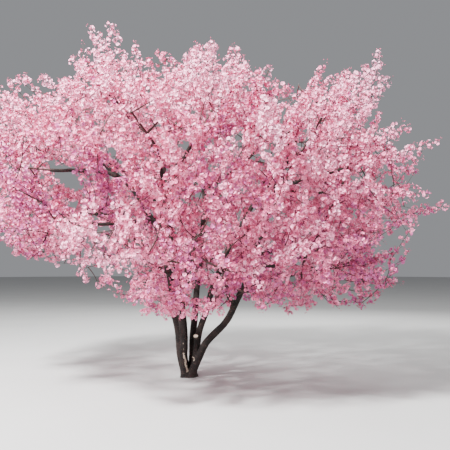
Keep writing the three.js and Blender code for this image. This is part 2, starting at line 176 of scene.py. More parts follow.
class Wiring:
    """A tree of nodes, and calls that add to it."""

    def __init__(self, tree):
        self.tree = tree
        self.nodes = tree.nodes
        self.links = tree.links

    def fill(self, socket, value):
        if isinstance(value, Signal):
            self.links.new(value.socket, socket)
        elif socket.type == "RGBA":
            socket.default_value = (*value[:3], 1)
        else:
            socket.default_value = value

    def node(self, kind, settings, *values, output=0):
        made = self.nodes.new(kind)
        for setting, value in settings.items():
            setattr(made, setting, value)
        sockets = [socket for socket in made.inputs if socket.enabled]
        for socket, value in zip(sockets, values):
            if value is not None:
                self.fill(socket, value)
        return Signal(self, made.outputs[output])


print("what adds nodes: + - * / root, unsigned, or_more, step, scaled")

# %% [markdown]
# ## A material in a few lines
# A finish is a tree of nodes that leads to one shader. Numbers that are the same all over go straight into
# the shader's own sockets. What changes over the surface goes into its colour, its roughness or its bumps.
# Colours are picked as they look on a screen, and turned into the linear light that shaders work in. The
# simplest finish here is a soft cloud between two colours. The floor, a wide pale disc, has one.

# %% A finish, and the floor
class Finish(Wiring):
    """One material, with its shader and the nodes that lead to it."""

    def __init__(self, name, **constants):
        self.material = bpy.data.materials.new(name)
        self.material.use_nodes = True
        super().__init__(self.material.node_tree)
        self.shader = self.nodes["Principled BSDF"]
        for socket, value in constants.items():
            self.shader.inputs[socket.replace("_", " ")].default_value = value

    def place(self):
        return self.node("ShaderNodeTexCoord", {}, output="Object")

    def attribute(self, name):
        return self.node("ShaderNodeAttribute", {"attribute_name": name}, output="Vector")

    def axis(self, vector, name):
        return self.node("ShaderNodeSeparateXYZ", {}, vector, output=name)

    def cloud(self, vector, scale, detail=3):
        return self.node("ShaderNodeTexNoise", {}, vector, scale, detail)

    def mixed(self, share, first, second):
        """A colour between two, by a share from 0 to 1."""
        made = self.nodes.new("ShaderNodeMix")
        made.data_type = "RGBA"
        self.fill(made.inputs["Factor"], share)
        for socket, colour in zip([s for s in made.inputs if s.type == "RGBA"], (first, second)):
            self.fill(socket, colour)
        return Signal(self, next(s for s in made.outputs if s.type == "RGBA"))

    def bumps(self, height, distance, strength=1.0):
        bump = self.nodes.new("ShaderNodeBump")
        bump.inputs["Distance"].default_value = distance
        bump.inputs["Strength"].default_value = strength
        self.fill(bump.inputs["Height"], height)
        self.links.new(bump.outputs["Normal"], self.shader.inputs["Normal"])

    def colour(self, value):
        self.fill(self.shader.inputs["Base Color"], value)


def from_screen(red, green, blue):
    """A colour picked on a screen, 0 to 255, as the linear light that shaders use."""
    shares = [value / 255 for value in (red, green, blue)]
    return [s / 12.92 if s <= 0.04045 else ((s + 0.055) / 1.055) ** 2.4 for s in shares]


def clouded(name, roughness, scale, first, second):
    """A material with a soft cloud between two colours."""
    finish = Finish(name, Roughness=roughness)
    finish.colour(finish.mixed(finish.cloud(finish.place(), scale), first, second))
    return finish.material


FLOOR = {"radius": 60, "corners": 96, "cloud": 0.8, "dark": (0.45, 0.45, 0.44), "pale": (0.51, 0.51, 0.5)}
bpy.ops.mesh.primitive_circle_add(vertices=FLOOR["corners"], radius=FLOOR["radius"], fill_type="NGON")
floor = bpy.context.object
floor.name = "floor"
floor.data.materials.append(clouded("pale_floor", roughness=0.85, scale=FLOOR["cloud"],
                                    first=FLOOR["dark"], second=FLOOR["pale"]))
print("floor:", FLOOR["radius"] * 2, "m across")

# %% [markdown]
# ## The crown's plan
# The crown is a body with a domed top and a flatter underside, leaders that stand up out of the dome, a gap
# between two layers of boughs on the left, and egg-shaped places at its rim that no spray reaches. The plain
# model was grown from these same sizes. They are written here again in metres, because the fine twigs have to
# keep to the same outline and the same gap.

# %% The crown's plan
CROWN_MIDDLE = np.array([0.13, 0, 2.8])
CROWN_HALF = np.array([3.22, 2.75])
CROWN_TOP = 4.88
DOME_TOP = 4.33
DOME_POWER = 2.6
SKIRT_FOOT = 1.0
SKIRT_POWER = 4
LEFT_LIFT = {"from": -0.5, "over": 1.2, "rise": 0.6}  # the underside rises on the left
LEADERS = [  # x, y, rise, width
    (-1.4, -0.1, 0.9, 0.6),
    (0.25, 0, 0.4, 0.6),
    (2.6, 0, 0.78, 0.52),
    (-2.45, 0.1, 0.45, 0.6),
    (0.7, 1.7, 0.4, 0.6),
    (-1.5, 1.6, 0.35, 0.6),
]
OPEN_PLACES = [  # middle, half size
    ((-2.15, -0.4, 4.75), (0.62, 1.2, 0.6)),
    ((-2.0, -1.5, 4.0), (0.55, 0.9, 0.35)),
    ((1.3, -1.6, 4.15), (0.42, 1.6, 0.5)),
    ((3.1, -0.5, 3.72), (0.6, 1.7, 0.42)),
    ((3.35, -0.5, 1.92), (0.5, 1.5, 0.42)),
    ((-0.76, -1.3, 1.0), (0.3, 0.7, 0.3)),
]
GAP = {"x": -1.4, "z": 2.88, "half": (0.7, 0.2), "back_x": -0.22, "back_z": 0.13, "fall": -0.25}


def plan_share(p):
    across = (p[..., :2] - CROWN_MIDDLE[:2]) / CROWN_HALF
    return np.hypot(across[..., 0], across[..., 1])


def rounded(share, power):
    return np.maximum(0, 1 - share**power) ** (1 / power)


def ceiling_at(p):
    height = CROWN_MIDDLE[2] + rounded(plan_share(p), DOME_POWER) * (DOME_TOP - CROWN_MIDDLE[2])
    for x, y, rise, width in LEADERS:
        height = height + rise * np.exp(-((p[..., 0] - x) ** 2 + (p[..., 1] - y) ** 2) / width**2)
    return np.minimum(CROWN_TOP, height)


def floor_at(p):
    skirt = rounded(plan_share(p), SKIRT_POWER) * (CROWN_MIDDLE[2] - SKIRT_FOOT)
    t = np.clip((LEFT_LIFT["from"] - p[..., 0]) / LEFT_LIFT["over"], 0, 1)
    return CROWN_MIDDLE[2] - skirt + LEFT_LIFT["rise"] * t * t * (3 - 2 * t)


def in_gap(p, gap):
    across = p[..., 0] - gap["x"] - gap["back_x"] * p[..., 1]
    above = p[..., 2] - gap["z"] - gap["back_z"] * p[..., 1] - gap["fall"] * across
    return (across / gap["half"][0]) ** 2 + (above / gap["half"][1]) ** 2 < 1


def deep_in(p, place):
    """How deep points lie in an egg-shaped place: 1 in its middle, 0 on its skin, and less outside."""
    middle, half = place
    return 1 - np.linalg.norm((p - np.array(middle)) / half, axis=-1)


def in_open_place(p):
    return any(deep_in(p, place) > 0 for place in OPEN_PLACES)


def in_crown(p, gap=GAP):
    within = (p[..., 2] < ceiling_at(p)) & (p[..., 2] > floor_at(p))
    return (plan_share(p) < 1) & within & ~in_gap(p, gap)


def from_middle(p, share):
    return (p - CROWN_MIDDLE) * share + CROWN_MIDDLE


print("the crown fills", SKIRT_FOOT, "to", CROWN_TOP, "m above the ground")

# %% [markdown]
# ## Spots in an even row
# Each spray needs a spot. Spots by pure chance would leave clumps and holes, so they come from an endless row
# whose steps fill a box evenly however long it gets. The first spots of it that lie in the crown are taken.
# Deep in the shade only one in a few is kept, because a cherry bears few flowers there.

# %% Spots
SPRAYS = 440
SHADE_SHARE = 0.6
SHADE_KEEPS_ONE_IN = 5
EVEN_STEP = 1.2207440846057596  # solves x ** 4 = x + 1, which spreads points evenly in a box
ROW_FOR_EACH_SPOT = 12


def spread_spots(count, shade_share, keeps_one_in, gap=GAP):
    """The first spots of an endless even row that lie in the crown, with fewer in its shade."""
    n = np.arange(1, ROW_FOR_EACH_SPOT * count + 1)
    even = np.stack([(0.5 + n / EVEN_STEP**power) % 1 for power in (1, 2, 3)], axis=1)
    low = np.array([*(CROWN_MIDDLE[:2] - CROWN_HALF), SKIRT_FOOT])
    size = np.array([*(2 * CROWN_HALF), CROWN_TOP - SKIRT_FOOT])
    p = low + even * size
    shaded = in_crown(from_middle(p, 1 / shade_share), gap)
    return p[in_crown(p, gap) & (~shaded | (n % keeps_one_in == 0))][:count]


spots = spread_spots(SPRAYS, SHADE_SHARE, SHADE_KEEPS_ONE_IN)
print("spots:", len(spots))

# %% [markdown]
# ## Where the crown is airy
# The crown isn't equally full. Its rim is looser than its middle, and in some places the sky shows between
# single shoots: on the right between three tongues that reach out, in a dip of the top, on the left shoulder
# and under the left side. Each such place is egg-shaped and loses most of its finer spots. Small loose
# patches lie all over the crown as well, where a smooth noise is high, and let the dark limbs show here and
# there. Two places under the left side hang lower than the rest, and get a few more spots. The finer twigs
# leave only the heart of the gap open. What chances a shape needs from here on come from seeded rows, drawn
# in the same order on every run.

# %% Airy places
FINE_SPRAYS = 1500
FINE_SHADE_SHARE = 0.5
FINE_KEEPS_ONE_IN = 3
OPEN_GAP = {**GAP, "x": -1.85, "half": (0.44, 0.17)}
AIRY = [  # middle, half size
    ((3.2, -0.6, 3.62), (0.85, 2.4, 0.46)),
    ((3.3, -0.6, 2.82), (0.75, 2.4, 0.2)),
    ((3.2, -0.6, 1.92), (0.85, 2.4, 0.5)),
    ((1.35, -0.8, 4.3), (0.6, 2.0, 0.5)),
    ((-2.7, -0.4, 4.3), (1.0, 1.8, 0.45)),
    ((-1.12, -0.5, 1.62), (0.78, 2.4, 0.62)),
]
AIRY_MOST = 0.95
AIRY_EDGE = 3  # a third of the way in from its skin, an airy place loses its most
AIRY_RIM = {"share": 0.9, "most": 0.6}
LOOSE = {"scale": 1.7, "from": 0.02, "slope": 4, "most": 0.75}
FULL = [  # middle, half size, number of spots
    ((-0.35, -0.5, 1.1), (0.3, 0.8, 0.16), 22),
    ((-1.95, -0.5, 1.8), (0.35, 0.8, 0.16), 16),
]
SEED = 41


def left_out(p):
    """The share of the spots that the crown loses at a place."""
    share = np.where(in_crown(from_middle(p, 1 / AIRY_RIM["share"]), OPEN_GAP), 0, AIRY_RIM["most"])
    for place in AIRY:
        share = np.maximum(share, AIRY_MOST * np.clip(AIRY_EDGE * deep_in(p, place), 0, 1))
    return share


def loose(p):
    """The same for the small loose patches that lie all over the crown."""
    cloud = np.array([noise.noise(Vector(place) * LOOSE["scale"]) for place in p])
    return np.clip((cloud - LOOSE["from"]) * LOOSE["slope"], 0, LOOSE["most"])


fine_spots = spread_spots(SPRAYS + FINE_SPRAYS, FINE_SHADE_SHARE, FINE_KEEPS_ONE_IN, OPEN_GAP)[SPRAYS:]
thinning = np.maximum(left_out(fine_spots), loose(fine_spots))
fine_spots = fine_spots[(np.arange(len(fine_spots)) / EVEN_STEP) % 1 > thinning]
rng = np.random.default_rng(SEED)
for middle, half, count in FULL:
    fine_spots = np.concatenate([fine_spots, middle + rng.uniform(-1, 1, (count, 3)) * half])
print("finer spots:", len(fine_spots))

# %% [markdown]
# ## Masses
# The spots are shared out among masses. The heart of each mass moves to the middle of the spots that are
# nearest to it, a dozen times over, which leaves masses of about the same size that fill the crown side by
# side. How deep a point lies inside its mass is its distance from the plane halfway to each neighbour.

# %% Hearts of the masses
MASSES = 24
HEART_ROUNDS = 12


def nearest_heart(p, hearts):
    return np.argmin(np.linalg.norm(p[..., None, :] - hearts, axis=-1), axis=-1)


def find_hearts(spots):
    hearts = spots[:MASSES]
    for _ in range(HEART_ROUNDS):
        owner = nearest_heart(spots, hearts)
        hearts = np.array([spots[owner == mass].mean(axis=0) for mass in range(MASSES)])
    return hearts[np.argsort(hearts[:, 2], kind="stable")]


def room_inside(p, own, hearts):
    others = np.delete(hearts, own, axis=0)
    apart = np.linalg.norm(others - hearts[own], axis=1)
    to_others = ((p[..., None, :] - others) ** 2).sum(axis=-1)
    to_own = ((p - hearts[own]) ** 2).sum(axis=-1)[..., None]
    return ((to_others - to_own) / (2 * apart)).min(axis=-1)


hearts = find_hearts(spots)
print("lowest and highest heart:", hearts[0].round(3), hearts[-1].round(3))

# %% [markdown]
# ## A limb as a row of points
# Stems and boughs are rows of points with a radius at each. That is enough to ask for a direction anywhere,
# and to test whether two limbs touch, by comparing places sampled close together along both.

# %% A limb
SAMPLE_EVERY = 0.03
UP = np.array([0.0, 0, 1])


def unit(vector):
    return vector / np.linalg.norm(vector)


def angle_between(first, second):
    return math.degrees(math.acos(max(-1, min(1, float(unit(first) @ unit(second))))))


def along(values, t):
    """The value at share t of a row of values at even distances."""
    place = t * (len(values) - 1)
    before = min(math.floor(place), len(values) - 2)
    return values[before] + (values[before + 1] - values[before]) * (place - before)


def points_between(start, end):
    parts = math.ceil(np.linalg.norm(end - start) / SAMPLE_EVERY)
    return start + (end - start) * np.linspace(0, 1, parts + 1)[:, None]


class Limb:
    """A stem or a bough: a row of points with a radius at each."""

    def __init__(self, name, points, radii, parent=None):
        self.name = name
        self.points = np.array(points)
        self.radii = np.array(radii)
        self.parent = parent

    def tangent(self, at):
        last = len(self.points) - 1
        return unit(self.points[min(at + 1, last)] - self.points[max(at - 1, 0)])

    def samples(self):
        """Places along the limb, close together, each with the limb's radius as a fourth number."""
        rows = []
        for start, end, radius in zip(self.points, self.points[1:], self.radii):
            rows += [(*p, radius) for p in points_between(start, end)]
        return np.array(rows)


print("a limb is sampled every", SAMPLE_EVERY, "m")

# %% [markdown]
# ## The six stems
# A stem starts below ground and leans further out as it rises, with a small kink that repeats. Its direction
# and its lean are given at even distances along it, in degrees, and are worked out between them.

# %% Stems
STEMS = [
    {"name": "stem_left", "foot": (0.03, 0.008), "radius": (0.066, 0.025), "length": 3.7,
     "azimuth": (182, 178, 202), "lean": (14, 8, 12, 38, 60)},
    {"name": "stem_front", "foot": (-0.016, -0.06), "radius": (0.05, 0.024), "length": 3.4,
     "azimuth": (225, 250, 265), "lean": (3, 7, 16, 34, 42)},
    {"name": "stem_back", "foot": (0.052, 0.062), "radius": (0.054, 0.024), "length": 3.45,
     "azimuth": (50, 75, 98), "lean": (3, 8, 18, 36, 48)},
    {"name": "stem_right", "foot": (0.068, -0.004), "radius": (0.054, 0.025), "length": 3.55,
     "azimuth": (10, 8, 44), "lean": (4, 16, 22, 36, 50)},
    {"name": "stem_low_right", "foot": (0.056, -0.046), "radius": (0.06, 0.025), "length": 3.5,
     "azimuth": (-8, -12, -20), "lean": (4, 24, 44, 36, 26, 18, 18, 20, 24, 30, 36)},
    {"name": "stem_back_left", "foot": (-0.018, 0.08), "radius": (0.05, 0.024), "length": 3.59,
     "azimuth": (110, 130, 156), "lean": (4, 6, 18, 40, 56)},
]
STEM_STEPS = 60
STEM_KINK = {"degrees": 6, "waves": 5}
BELOW_GROUND = 0.08


def grow_stem(size):
    points = [np.array([*size["foot"], -BELOW_GROUND])]
    for index in range(1, STEM_STEPS + 1):
        t = (index - 0.5) / STEM_STEPS
        kink = math.sin(2 * math.pi * STEM_KINK["waves"] * t) * STEM_KINK["degrees"]
        turned = math.radians(along(size["azimuth"], t) + kink)
        leaning = math.radians(along(size["lean"], t) + kink)
        across = math.sin(leaning)
        way = np.array([across * math.cos(turned), across * math.sin(turned), math.cos(leaning)])
        points.append(points[-1] + way * size["length"] / STEM_STEPS)
    radii = [along(size["radius"], index / STEM_STEPS) for index in range(STEM_STEPS + 1)]
    return Limb(size["name"], points, radii)


stems = [grow_stem(size) for size in STEMS]
for stem in stems:
    print(stem.name, "ends at", stem.points[-1].round(2))

# %% [markdown]
# ## A twig
# A twig is a straight stretch from its foot to its end, and later twigs leave it at slots a share of the way
# back. How thick it is depends on its load, the number of sprays that it carries in the end.

# %% A twig
MASS_STEM = {"radius": 0.022, "first_twig": 0.07, "node_every": 0.2}
SLOTS = {"plain": 0.12, "fine": 0.22, "every": 0.2, "most": 4}
TWIG_RADIUS = 0.006
LEAST_LOAD = 0.5
LOAD_POWER = 0.55


class Twig:
    """The end of a stretch of twig. Side twigs leave that stretch at its slots."""

    def __init__(self, end, parent, foot, stem, back=0):
        self.end = end
        self.parent = parent
        self.foot = foot
        self.stem = stem
        self.back = back
        self.line = np.array([foot, end])
        self.direction = unit(end - foot)
        self.taken = {"plain": 0, "fine": 0}
        self.load = 0
        self.spray = None

    def next_back(self, kind):
        """The share of the way back from the end to the foot where the next slot lies."""
        return SLOTS[kind] + SLOTS["every"] * self.taken[kind]

    def next_slot(self, kind):
        return self.end + (self.foot - self.end) * self.next_back(kind)

    def radius(self):
        return min(MASS_STEM["radius"], TWIG_RADIUS * max(self.load, LEAST_LOAD) ** LOAD_POWER)


print("a twig with one spray is", 2000 * TWIG_RADIUS, "mm thick")

# %% [markdown]
# ## The stem of a mass
# The stem of a mass is a row of such stretches, from the tip of its limb to the goal in its middle. The goal
# is the heart of the mass, or the nearest spot to it that keeps clear of the stems.

# %% The stem of a mass, and its goal
SEAT_GAP = 0.0003
CLEAR = 0.02
GOAL_CLEAR = 0.06


def clear_of(p, radius, samples):
    """Whether each point, with its radius, keeps clear of every sampled place."""
    apart = np.linalg.norm(np.atleast_2d(p)[:, None, :] - samples[:, :3], axis=-1)
    return bool((apart > np.reshape(radius, (-1, 1)) + samples[:, 3] + CLEAR).all())


def grow_mass_stem(limb, goal):
    way = limb.tangent(len(limb.points) - 1)
    entry = limb.points[-1] + way * SEAT_GAP
    first = entry + way * MASS_STEM["first_twig"]
    root = Twig(entry, None, entry - way, True)
    twigs = [root, Twig(first, root, entry, True)]
    parts = max(1, math.floor(np.linalg.norm(first - goal) / MASS_STEM["node_every"] + 0.5))
    for part in range(1, parts + 1):
        end = first + (goal - first) * part / parts
        twigs.append(Twig(end, twigs[-1], twigs[-1].end, True))
    return twigs


def mass_stem_samples(limb, goal):
    rows = [points_between(twig.foot, twig.end) for twig in grow_mass_stem(limb, goal)[1:]]
    rows = np.concatenate(rows)
    return np.column_stack([rows, np.full(len(rows), MASS_STEM["radius"])])


def find_goal(mass, hearts, spots, samples):
    own = spots[nearest_heart(spots, hearts) == mass]
    own = own[np.argsort(np.linalg.norm(own - hearts[mass], axis=1), kind="stable")]
    return next(p for p in [hearts[mass], *own] if clear_of(p, GOAL_CLEAR, samples))


stem_samples = np.concatenate([stem.samples() for stem in stems])
goals = [find_goal(mass, hearts, spots, stem_samples) for mass in range(MASSES)]
limb_of_mass = {int(nearest_heart(stem.points[-1], hearts)): stem for stem in stems}
print("masses on the stems' own tips:", sorted(mass + 1 for mass in limb_of_mass))

# %% [markdown]
# ## Where a bough may leave
# A bough leaves a stem where the way to its mass costs the least effort: a short way, a turn of no more than
# some 50 degrees, and no drop. It enters its mass a little before the goal, and turns gently from the stem's
# direction to that of its goal, on a curve with four control points and a small kink.

# %% The way of a bough
BOUGHS_LEAVE = (16, 52)  # first and last step of a stem
BOUGH_STEPS = 24
BOUGH_SPREAD = 1.45
BOUGH_KINK = {"sideways": 0.022, "upward": 0.011, "waves": 3}
BOUGH_BEND = 0.38
EASY_TURN = 48
DROP_COST = 3
DEEPEST_ENTRY = 0.52
ENTRY_SHARE = 0.5
ENTRY_STEP = 0.02


def bough_line(name, parent, start, leave, end, arrive):
    bend = np.linalg.norm(end - start) * BOUGH_BEND
    corners = np.array([start, start + leave * bend, end - arrive * bend, end])
    sideways = unit(np.cross(arrive, UP))
    points = []
    for index in range(BOUGH_STEPS + 1):
        t = index / BOUGH_STEPS
        weights = np.array([(1 - t) ** 3, 3 * t * (1 - t) ** 2, 3 * t * t * (1 - t), t**3])
        kink = math.sin(math.pi * t) ** 2 * math.sin(2 * math.pi * BOUGH_KINK["waves"] * t)
        aside = sideways * BOUGH_KINK["sideways"] + UP * BOUGH_KINK["upward"]
        points.append(weights @ corners + aside * kink)
    radii = [MASS_STEM["radius"] * along((BOUGH_SPREAD, 1), i / BOUGH_STEPS) for i in range(BOUGH_STEPS + 1)]
    return Limb(name, points, radii, parent=parent)


def bough_places(goal):
    places = []
    for stem in stems:
        for at in range(BOUGHS_LEAVE[0], BOUGHS_LEAVE[1] + 1):
            way = goal - stem.points[at]
            effort = 1 + max(0, angle_between(way, stem.tangent(at)) - EASY_TURN) / EASY_TURN
            drop = max(0, stem.points[at][2] - goal[2])
            places.append((np.linalg.norm(way) * effort + drop * DROP_COST, stem, at))
    return sorted(places, key=lambda place: place[0])


def entry_point(start, goal, mass):
    way = unit(goal - start)
    back = min(DEEPEST_ENTRY, np.linalg.norm(goal - start) * ENTRY_SHARE)
    while room_inside(goal - way * back, mass, hearts) < MASS_STEM["radius"] + CLEAR:
        back -= ENTRY_STEP
    return goal - way * back


print("ways for the first mass:", len(bough_places(goals[0])))

# %% [markdown]
# ## Boughs find their way
# For each mass that no stem ends in, the ways are tried in turn, the easiest first. A bough may touch nothing
# on its way, and the first one that is clear of all other limbs is kept. The plain boughs were found in the
# same way, so the box of each middle line here ends nearer to the plain bough's box than a bough is thick.

# %% Boughs
BOUGH_APART = 0.13


def grow_bough(mass, boughs, taken):
    goal = goals[mass]
    goals_left = [(*p, MASS_STEM["radius"]) for other, p in enumerate(goals) if other != mass]
    for _, stem, at in bough_places(goal):
        start = stem.points[at]
        way = unit(goal - start)
        end = entry_point(start, goal, mass)
        name = f"bough_{mass + 1:02d}"
        bough = bough_line(name, stem, start, unit(stem.tangent(at) + way), end, way)
        own_stem = mass_stem_samples(bough, goal)
        limbs = [other for other in stems if other is not stem] + boughs
        others = np.concatenate([*(limb.samples() for limb in limbs), *taken, goals_left])
        crowded = any(np.linalg.norm(other.points[0] - start) < BOUGH_APART for other in boughs)
        reach = np.concatenate([bough.samples(), own_stem])
        if crowded or not clear_of(reach[:, :3], reach[:, 3], others):
            continue
        if clear_of(own_stem[:, :3], own_stem[:, 3], stem.samples()):
            return bough
    raise ValueError(f"no clear way to mass {mass + 1}")


mass_stems = [mass_stem_samples(stem, goals[mass]) for mass, stem in limb_of_mass.items()]
boughs = []
for mass, goal in enumerate(goals):
    if mass in limb_of_mass:
        continue
    bough = grow_bough(mass, boughs, mass_stems)
    boughs.append(bough)
    mass_stems.append(mass_stem_samples(bough, goal))
    limb_of_mass[mass] = bough
limb_samples = np.concatenate([limb.samples() for limb in stems + boughs])
for bough in boughs:
    low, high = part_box(bough.name)

# %% [markdown]
# ## Each spot gets a twig
# Each spot is joined to the nearest twig of its mass that has grown already, from a free slot with a clear
# way. A sharp turn counts as a longer way. The spots nearest to the mass's foot come first, so the twigs
# branch as real ones do, from the inside out.

# %% Twigs to the spots
NEAR = 1.5
TURN_COST = 0.5
PARENTS_TRIED = 6


def near(samples, p):
    return samples[np.linalg.norm(samples[:, :3] - p, axis=1) < NEAR]


def join_spot(p, twigs, kind):
    """A new twig to p from the nearest free slot with a clear way, or None."""
    places = []
    for twig in twigs[2:]:
        if twig.taken[kind] < SLOTS["most"]:
            foot = twig.next_slot(kind)
            way = p - foot
            turn = 1 - float(unit(way) @ twig.direction)
            places.append((np.linalg.norm(way) * (1 + TURN_COST * turn), twig, foot))
    places.sort(key=lambda place: place[0])
    for _, twig, foot in places[:PARENTS_TRIED]:
        if clear_of(points_between(foot, p), TWIG_RADIUS, near(limb_samples, p)):
            back = twig.next_back(kind)
            twig.taken[kind] += 1
            return Twig(p, twig, foot, False, back)
    return None


def grow_twigs(mass):
    twigs = grow_mass_stem(limb_of_mass[mass], goals[mass])
    own = spots[(nearest_heart(spots, hearts) == mass) & (room_inside(spots, mass, hearts) > CLEAR)]
    own = own[np.argsort(np.linalg.norm(own - twigs[0].end, axis=1), kind="stable")]
    for p in own:
        made = join_spot(p, twigs, "plain")
        if made:
            twigs.append(made)
    return twigs


grown_twigs = [grow_twigs(mass) for mass in range(MASSES)]
print("twigs:", sum(len(twigs) for twigs in grown_twigs))

# %% [markdown]
# ## Sprays of blossom
# At the end of each twig stands a spray, which leans outward and upward with some chance in it. The tests are
# the plain model's: a spray stays in its own mass, inside the crown, and clear of limbs, twigs and other
# sprays. It is tried smaller and smaller until it fits. A twig that carries no spray in the end is dropped.

# %% Sprays
SPRAY = {"length": 0.8, "girth": 0.31, "outward": 0.8, "upward": 0.5, "chance": 1.6}
SPRAY_SIZES = (1, 0.85, 0.7, 0.55)
SPRAY_TESTS = np.array([[0, 0.1], [0.2, 0.22], [0.4, 0.4], [0.7, 0.22], [1, 0.02]])  # share along, girth
SPRAY_ROOM = {"times": 1.1, "more": 0.002}
SPRAY_PROUD = 0.94
DIRECTIONS_TRIED = 12
FIRST_SEED = 1000
CHANCE = {"factor": 16807, "modulus": 2147483647}


def seeded_chance(seed):
    """An endless row of numbers from 0 to 1, the same on every run."""
    state = seed
    while True:
        state = (state * CHANCE["factor"]) % CHANCE["modulus"]
        yield state / CHANCE["modulus"]


def leaning(twig, chance):
    """A spray's direction: along its twig, outward and upward, with some chance in it."""
    outward = unit(twig.end - CROWN_MIDDLE) * SPRAY["outward"]
    shake = np.array([next(chance) - 0.5, next(chance) - 0.5, next(chance) - 0.5]) * SPRAY["chance"]
    return unit(twig.direction + outward + shake + UP * SPRAY["upward"])


def place_spray(twig, mass, others, placed, chance):
    for size in SPRAY_SIZES:
        for _ in range(DIRECTIONS_TRIED):
            direction = leaning(twig, chance)
            p = twig.end + direction * SPRAY["length"] * size * SPRAY_TESTS[:, :1]
            radius = SPRAY["girth"] * size * SPRAY_TESTS[:, 1]
            if not in_crown(from_middle(p[-1], SPRAY_PROUD)):
                continue
            needed = radius * SPRAY_ROOM["times"] + SPRAY_ROOM["more"]
            if not (room_inside(p, mass, hearts) > needed).all():
                continue
            if not clear_of(p, radius * SPRAY_ROOM["times"], near(limb_samples, twig.end)):
                continue
            to_twigs = np.linalg.norm(p[:, None, :] - others, axis=-1)
            own_end = np.linalg.norm(others - twig.end, axis=1) < MASS_STEM["first_twig"]
            if not ((to_twigs > radius[:, None]) | own_end).all():
                continue
            to_sprays = np.linalg.norm(p[:, None, :] - placed[:, :3], axis=-1)
            if (to_sprays > radius[:, None] + placed[:, 3]).all():
                return {"direction": direction, "size": size, "tests": np.column_stack([p, radius])}
    return None


def dress_twigs(mass, twigs):
    chance = seeded_chance(FIRST_SEED + mass)
    placed = np.empty((0, 4))
    for twig in [twig for twig in twigs if not twig.stem][::-1]:
        others = [other for other in twigs if other.parent and other is not twig]
        others = np.concatenate([points_between(other.foot, other.end) for other in others])
        twig.spray = place_spray(twig, mass, others, placed, chance)
        if twig.spray:
            placed = np.concatenate([placed, twig.spray["tests"]])
    for twig in twigs:
        if twig.spray and in_open_place(twig.spray["tests"][-1, :3]):
            twig.spray = None
    for twig in twigs[:0:-1]:
        twig.load += 1 if twig.spray else 0
        twig.parent.load += twig.load
    return [twig for twig in twigs if twig.load > 0]


mass_twigs = [dress_twigs(mass, twigs) for mass, twigs in enumerate(grown_twigs)]
print("sprays:", sum(bool(twig.spray) for twigs in mass_twigs for twig in twigs))

# %% [markdown]
# ## The same tips as the plain ones
# Each spray of a plain mass ends in a sharp tip, which is a corner of that mass's mesh. If the rule was
# followed in every detail, each tip that was grown here lies on one of those corners. So the way from the
# furthest tip of a mass to the corner nearest to it shows whether the plain mass and this one are the same.

# %% Compare the tips
def furthest_tip(mass, tips):
    """How far the furthest of a mass's tips lies from the nearest corner of the plain mass."""
    plain = bpy.data.objects[f"blossom_{mass + 1:02d}"].data
    corners = np.array([corner.co for corner in plain.vertices])
    return np.linalg.norm(tips[:, None, :] - corners, axis=-1).min(axis=1).max()


for mass, twigs in enumerate(mass_twigs):
    tips = np.array([twig.spray["tests"][-1, :3] for twig in twigs if twig.spray])
    print(f"mass {mass + 1}: {len(tips)} sprays, tips {furthest_tip(mass, tips):.4f} m from the plain ones")

# %% [markdown]
# ## A flowering shoot
# A spray of the plain model is one solid. On the real tree it is a shoot with shorter ones at its sides, all
# in flower. A shoot bows a little, mostly up to the light, and keeps inside the crown and out of the gap. The
# outer part of the twig that it stands on flowers too. A finger is a stretch of shoot that flowers.

# %% A shoot
SHOOT = {"length": 0.46, "spread": 0.16, "shortest": 0.6, "clear": 0.05, "segments": 6}
SHOOT_BOW = {"size": 0.18, "upward": 0.6}
SHOOT_PROUD = 0.965
SHOOT_RADIUS = (0.0046, 0.002)
TWIG_LINE = {"segments": 5, "bow": 0.09, "in_flower": 0.55, "flower_parts": 3}
fingers = []
stretches = []


def shoot_line(start, direction, length, chance):
    """A shoot that bows a little, mostly up to the light."""
    t = np.linspace(0, 1, SHOOT["segments"] + 1)[:, None]
    aside = np.array([next(chance) - 0.5, next(chance) - 0.5, next(chance) * SHOOT_BOW["upward"]])
    return start + (direction * t + aside * SHOOT_BOW["size"] * t * t) * length


def fits_crown(points, proud):
    if in_open_place(points[-1]) or in_gap(points, OPEN_GAP).any():
        return False
    inside = in_crown(from_middle(points[-1], proud), OPEN_GAP)
    return inside and clear_of(points, SHOOT["clear"], near(limb_samples, points[0]))


def add_shoot(points, twig=None):
    """A shoot in flower, and with it the outer part of the twig that it stands on."""
    stretches.append((points, SHOOT_RADIUS))
    if twig:
        shares = np.linspace(TWIG_LINE["in_flower"], 1, TWIG_LINE["flower_parts"], endpoint=False)
        points = np.concatenate([[along(twig.line, share) for share in shares], points])
    fingers.append(points)


def crosswise(direction, chance):
    shake = np.array([next(chance) - 0.5, next(chance) - 0.5, next(chance) - 0.5])
    return unit(np.cross(direction, shake))


print("a shoot is about", SHOOT["length"], "m long")

# %% [markdown]
# ## Shoots in the place of a spray
# The main shoot follows the axis of its spray. Shorter ones leave it to both sides, except where the crown is
# airy. The main shoot can bear finer twigs too, so it counts as a twig from here on.

# %% Shoots of a spray
SIDE_SHOOTS = {"at": (0.14, 0.42), "turn": 0.75, "length": 0.44, "none_from": 0.5}


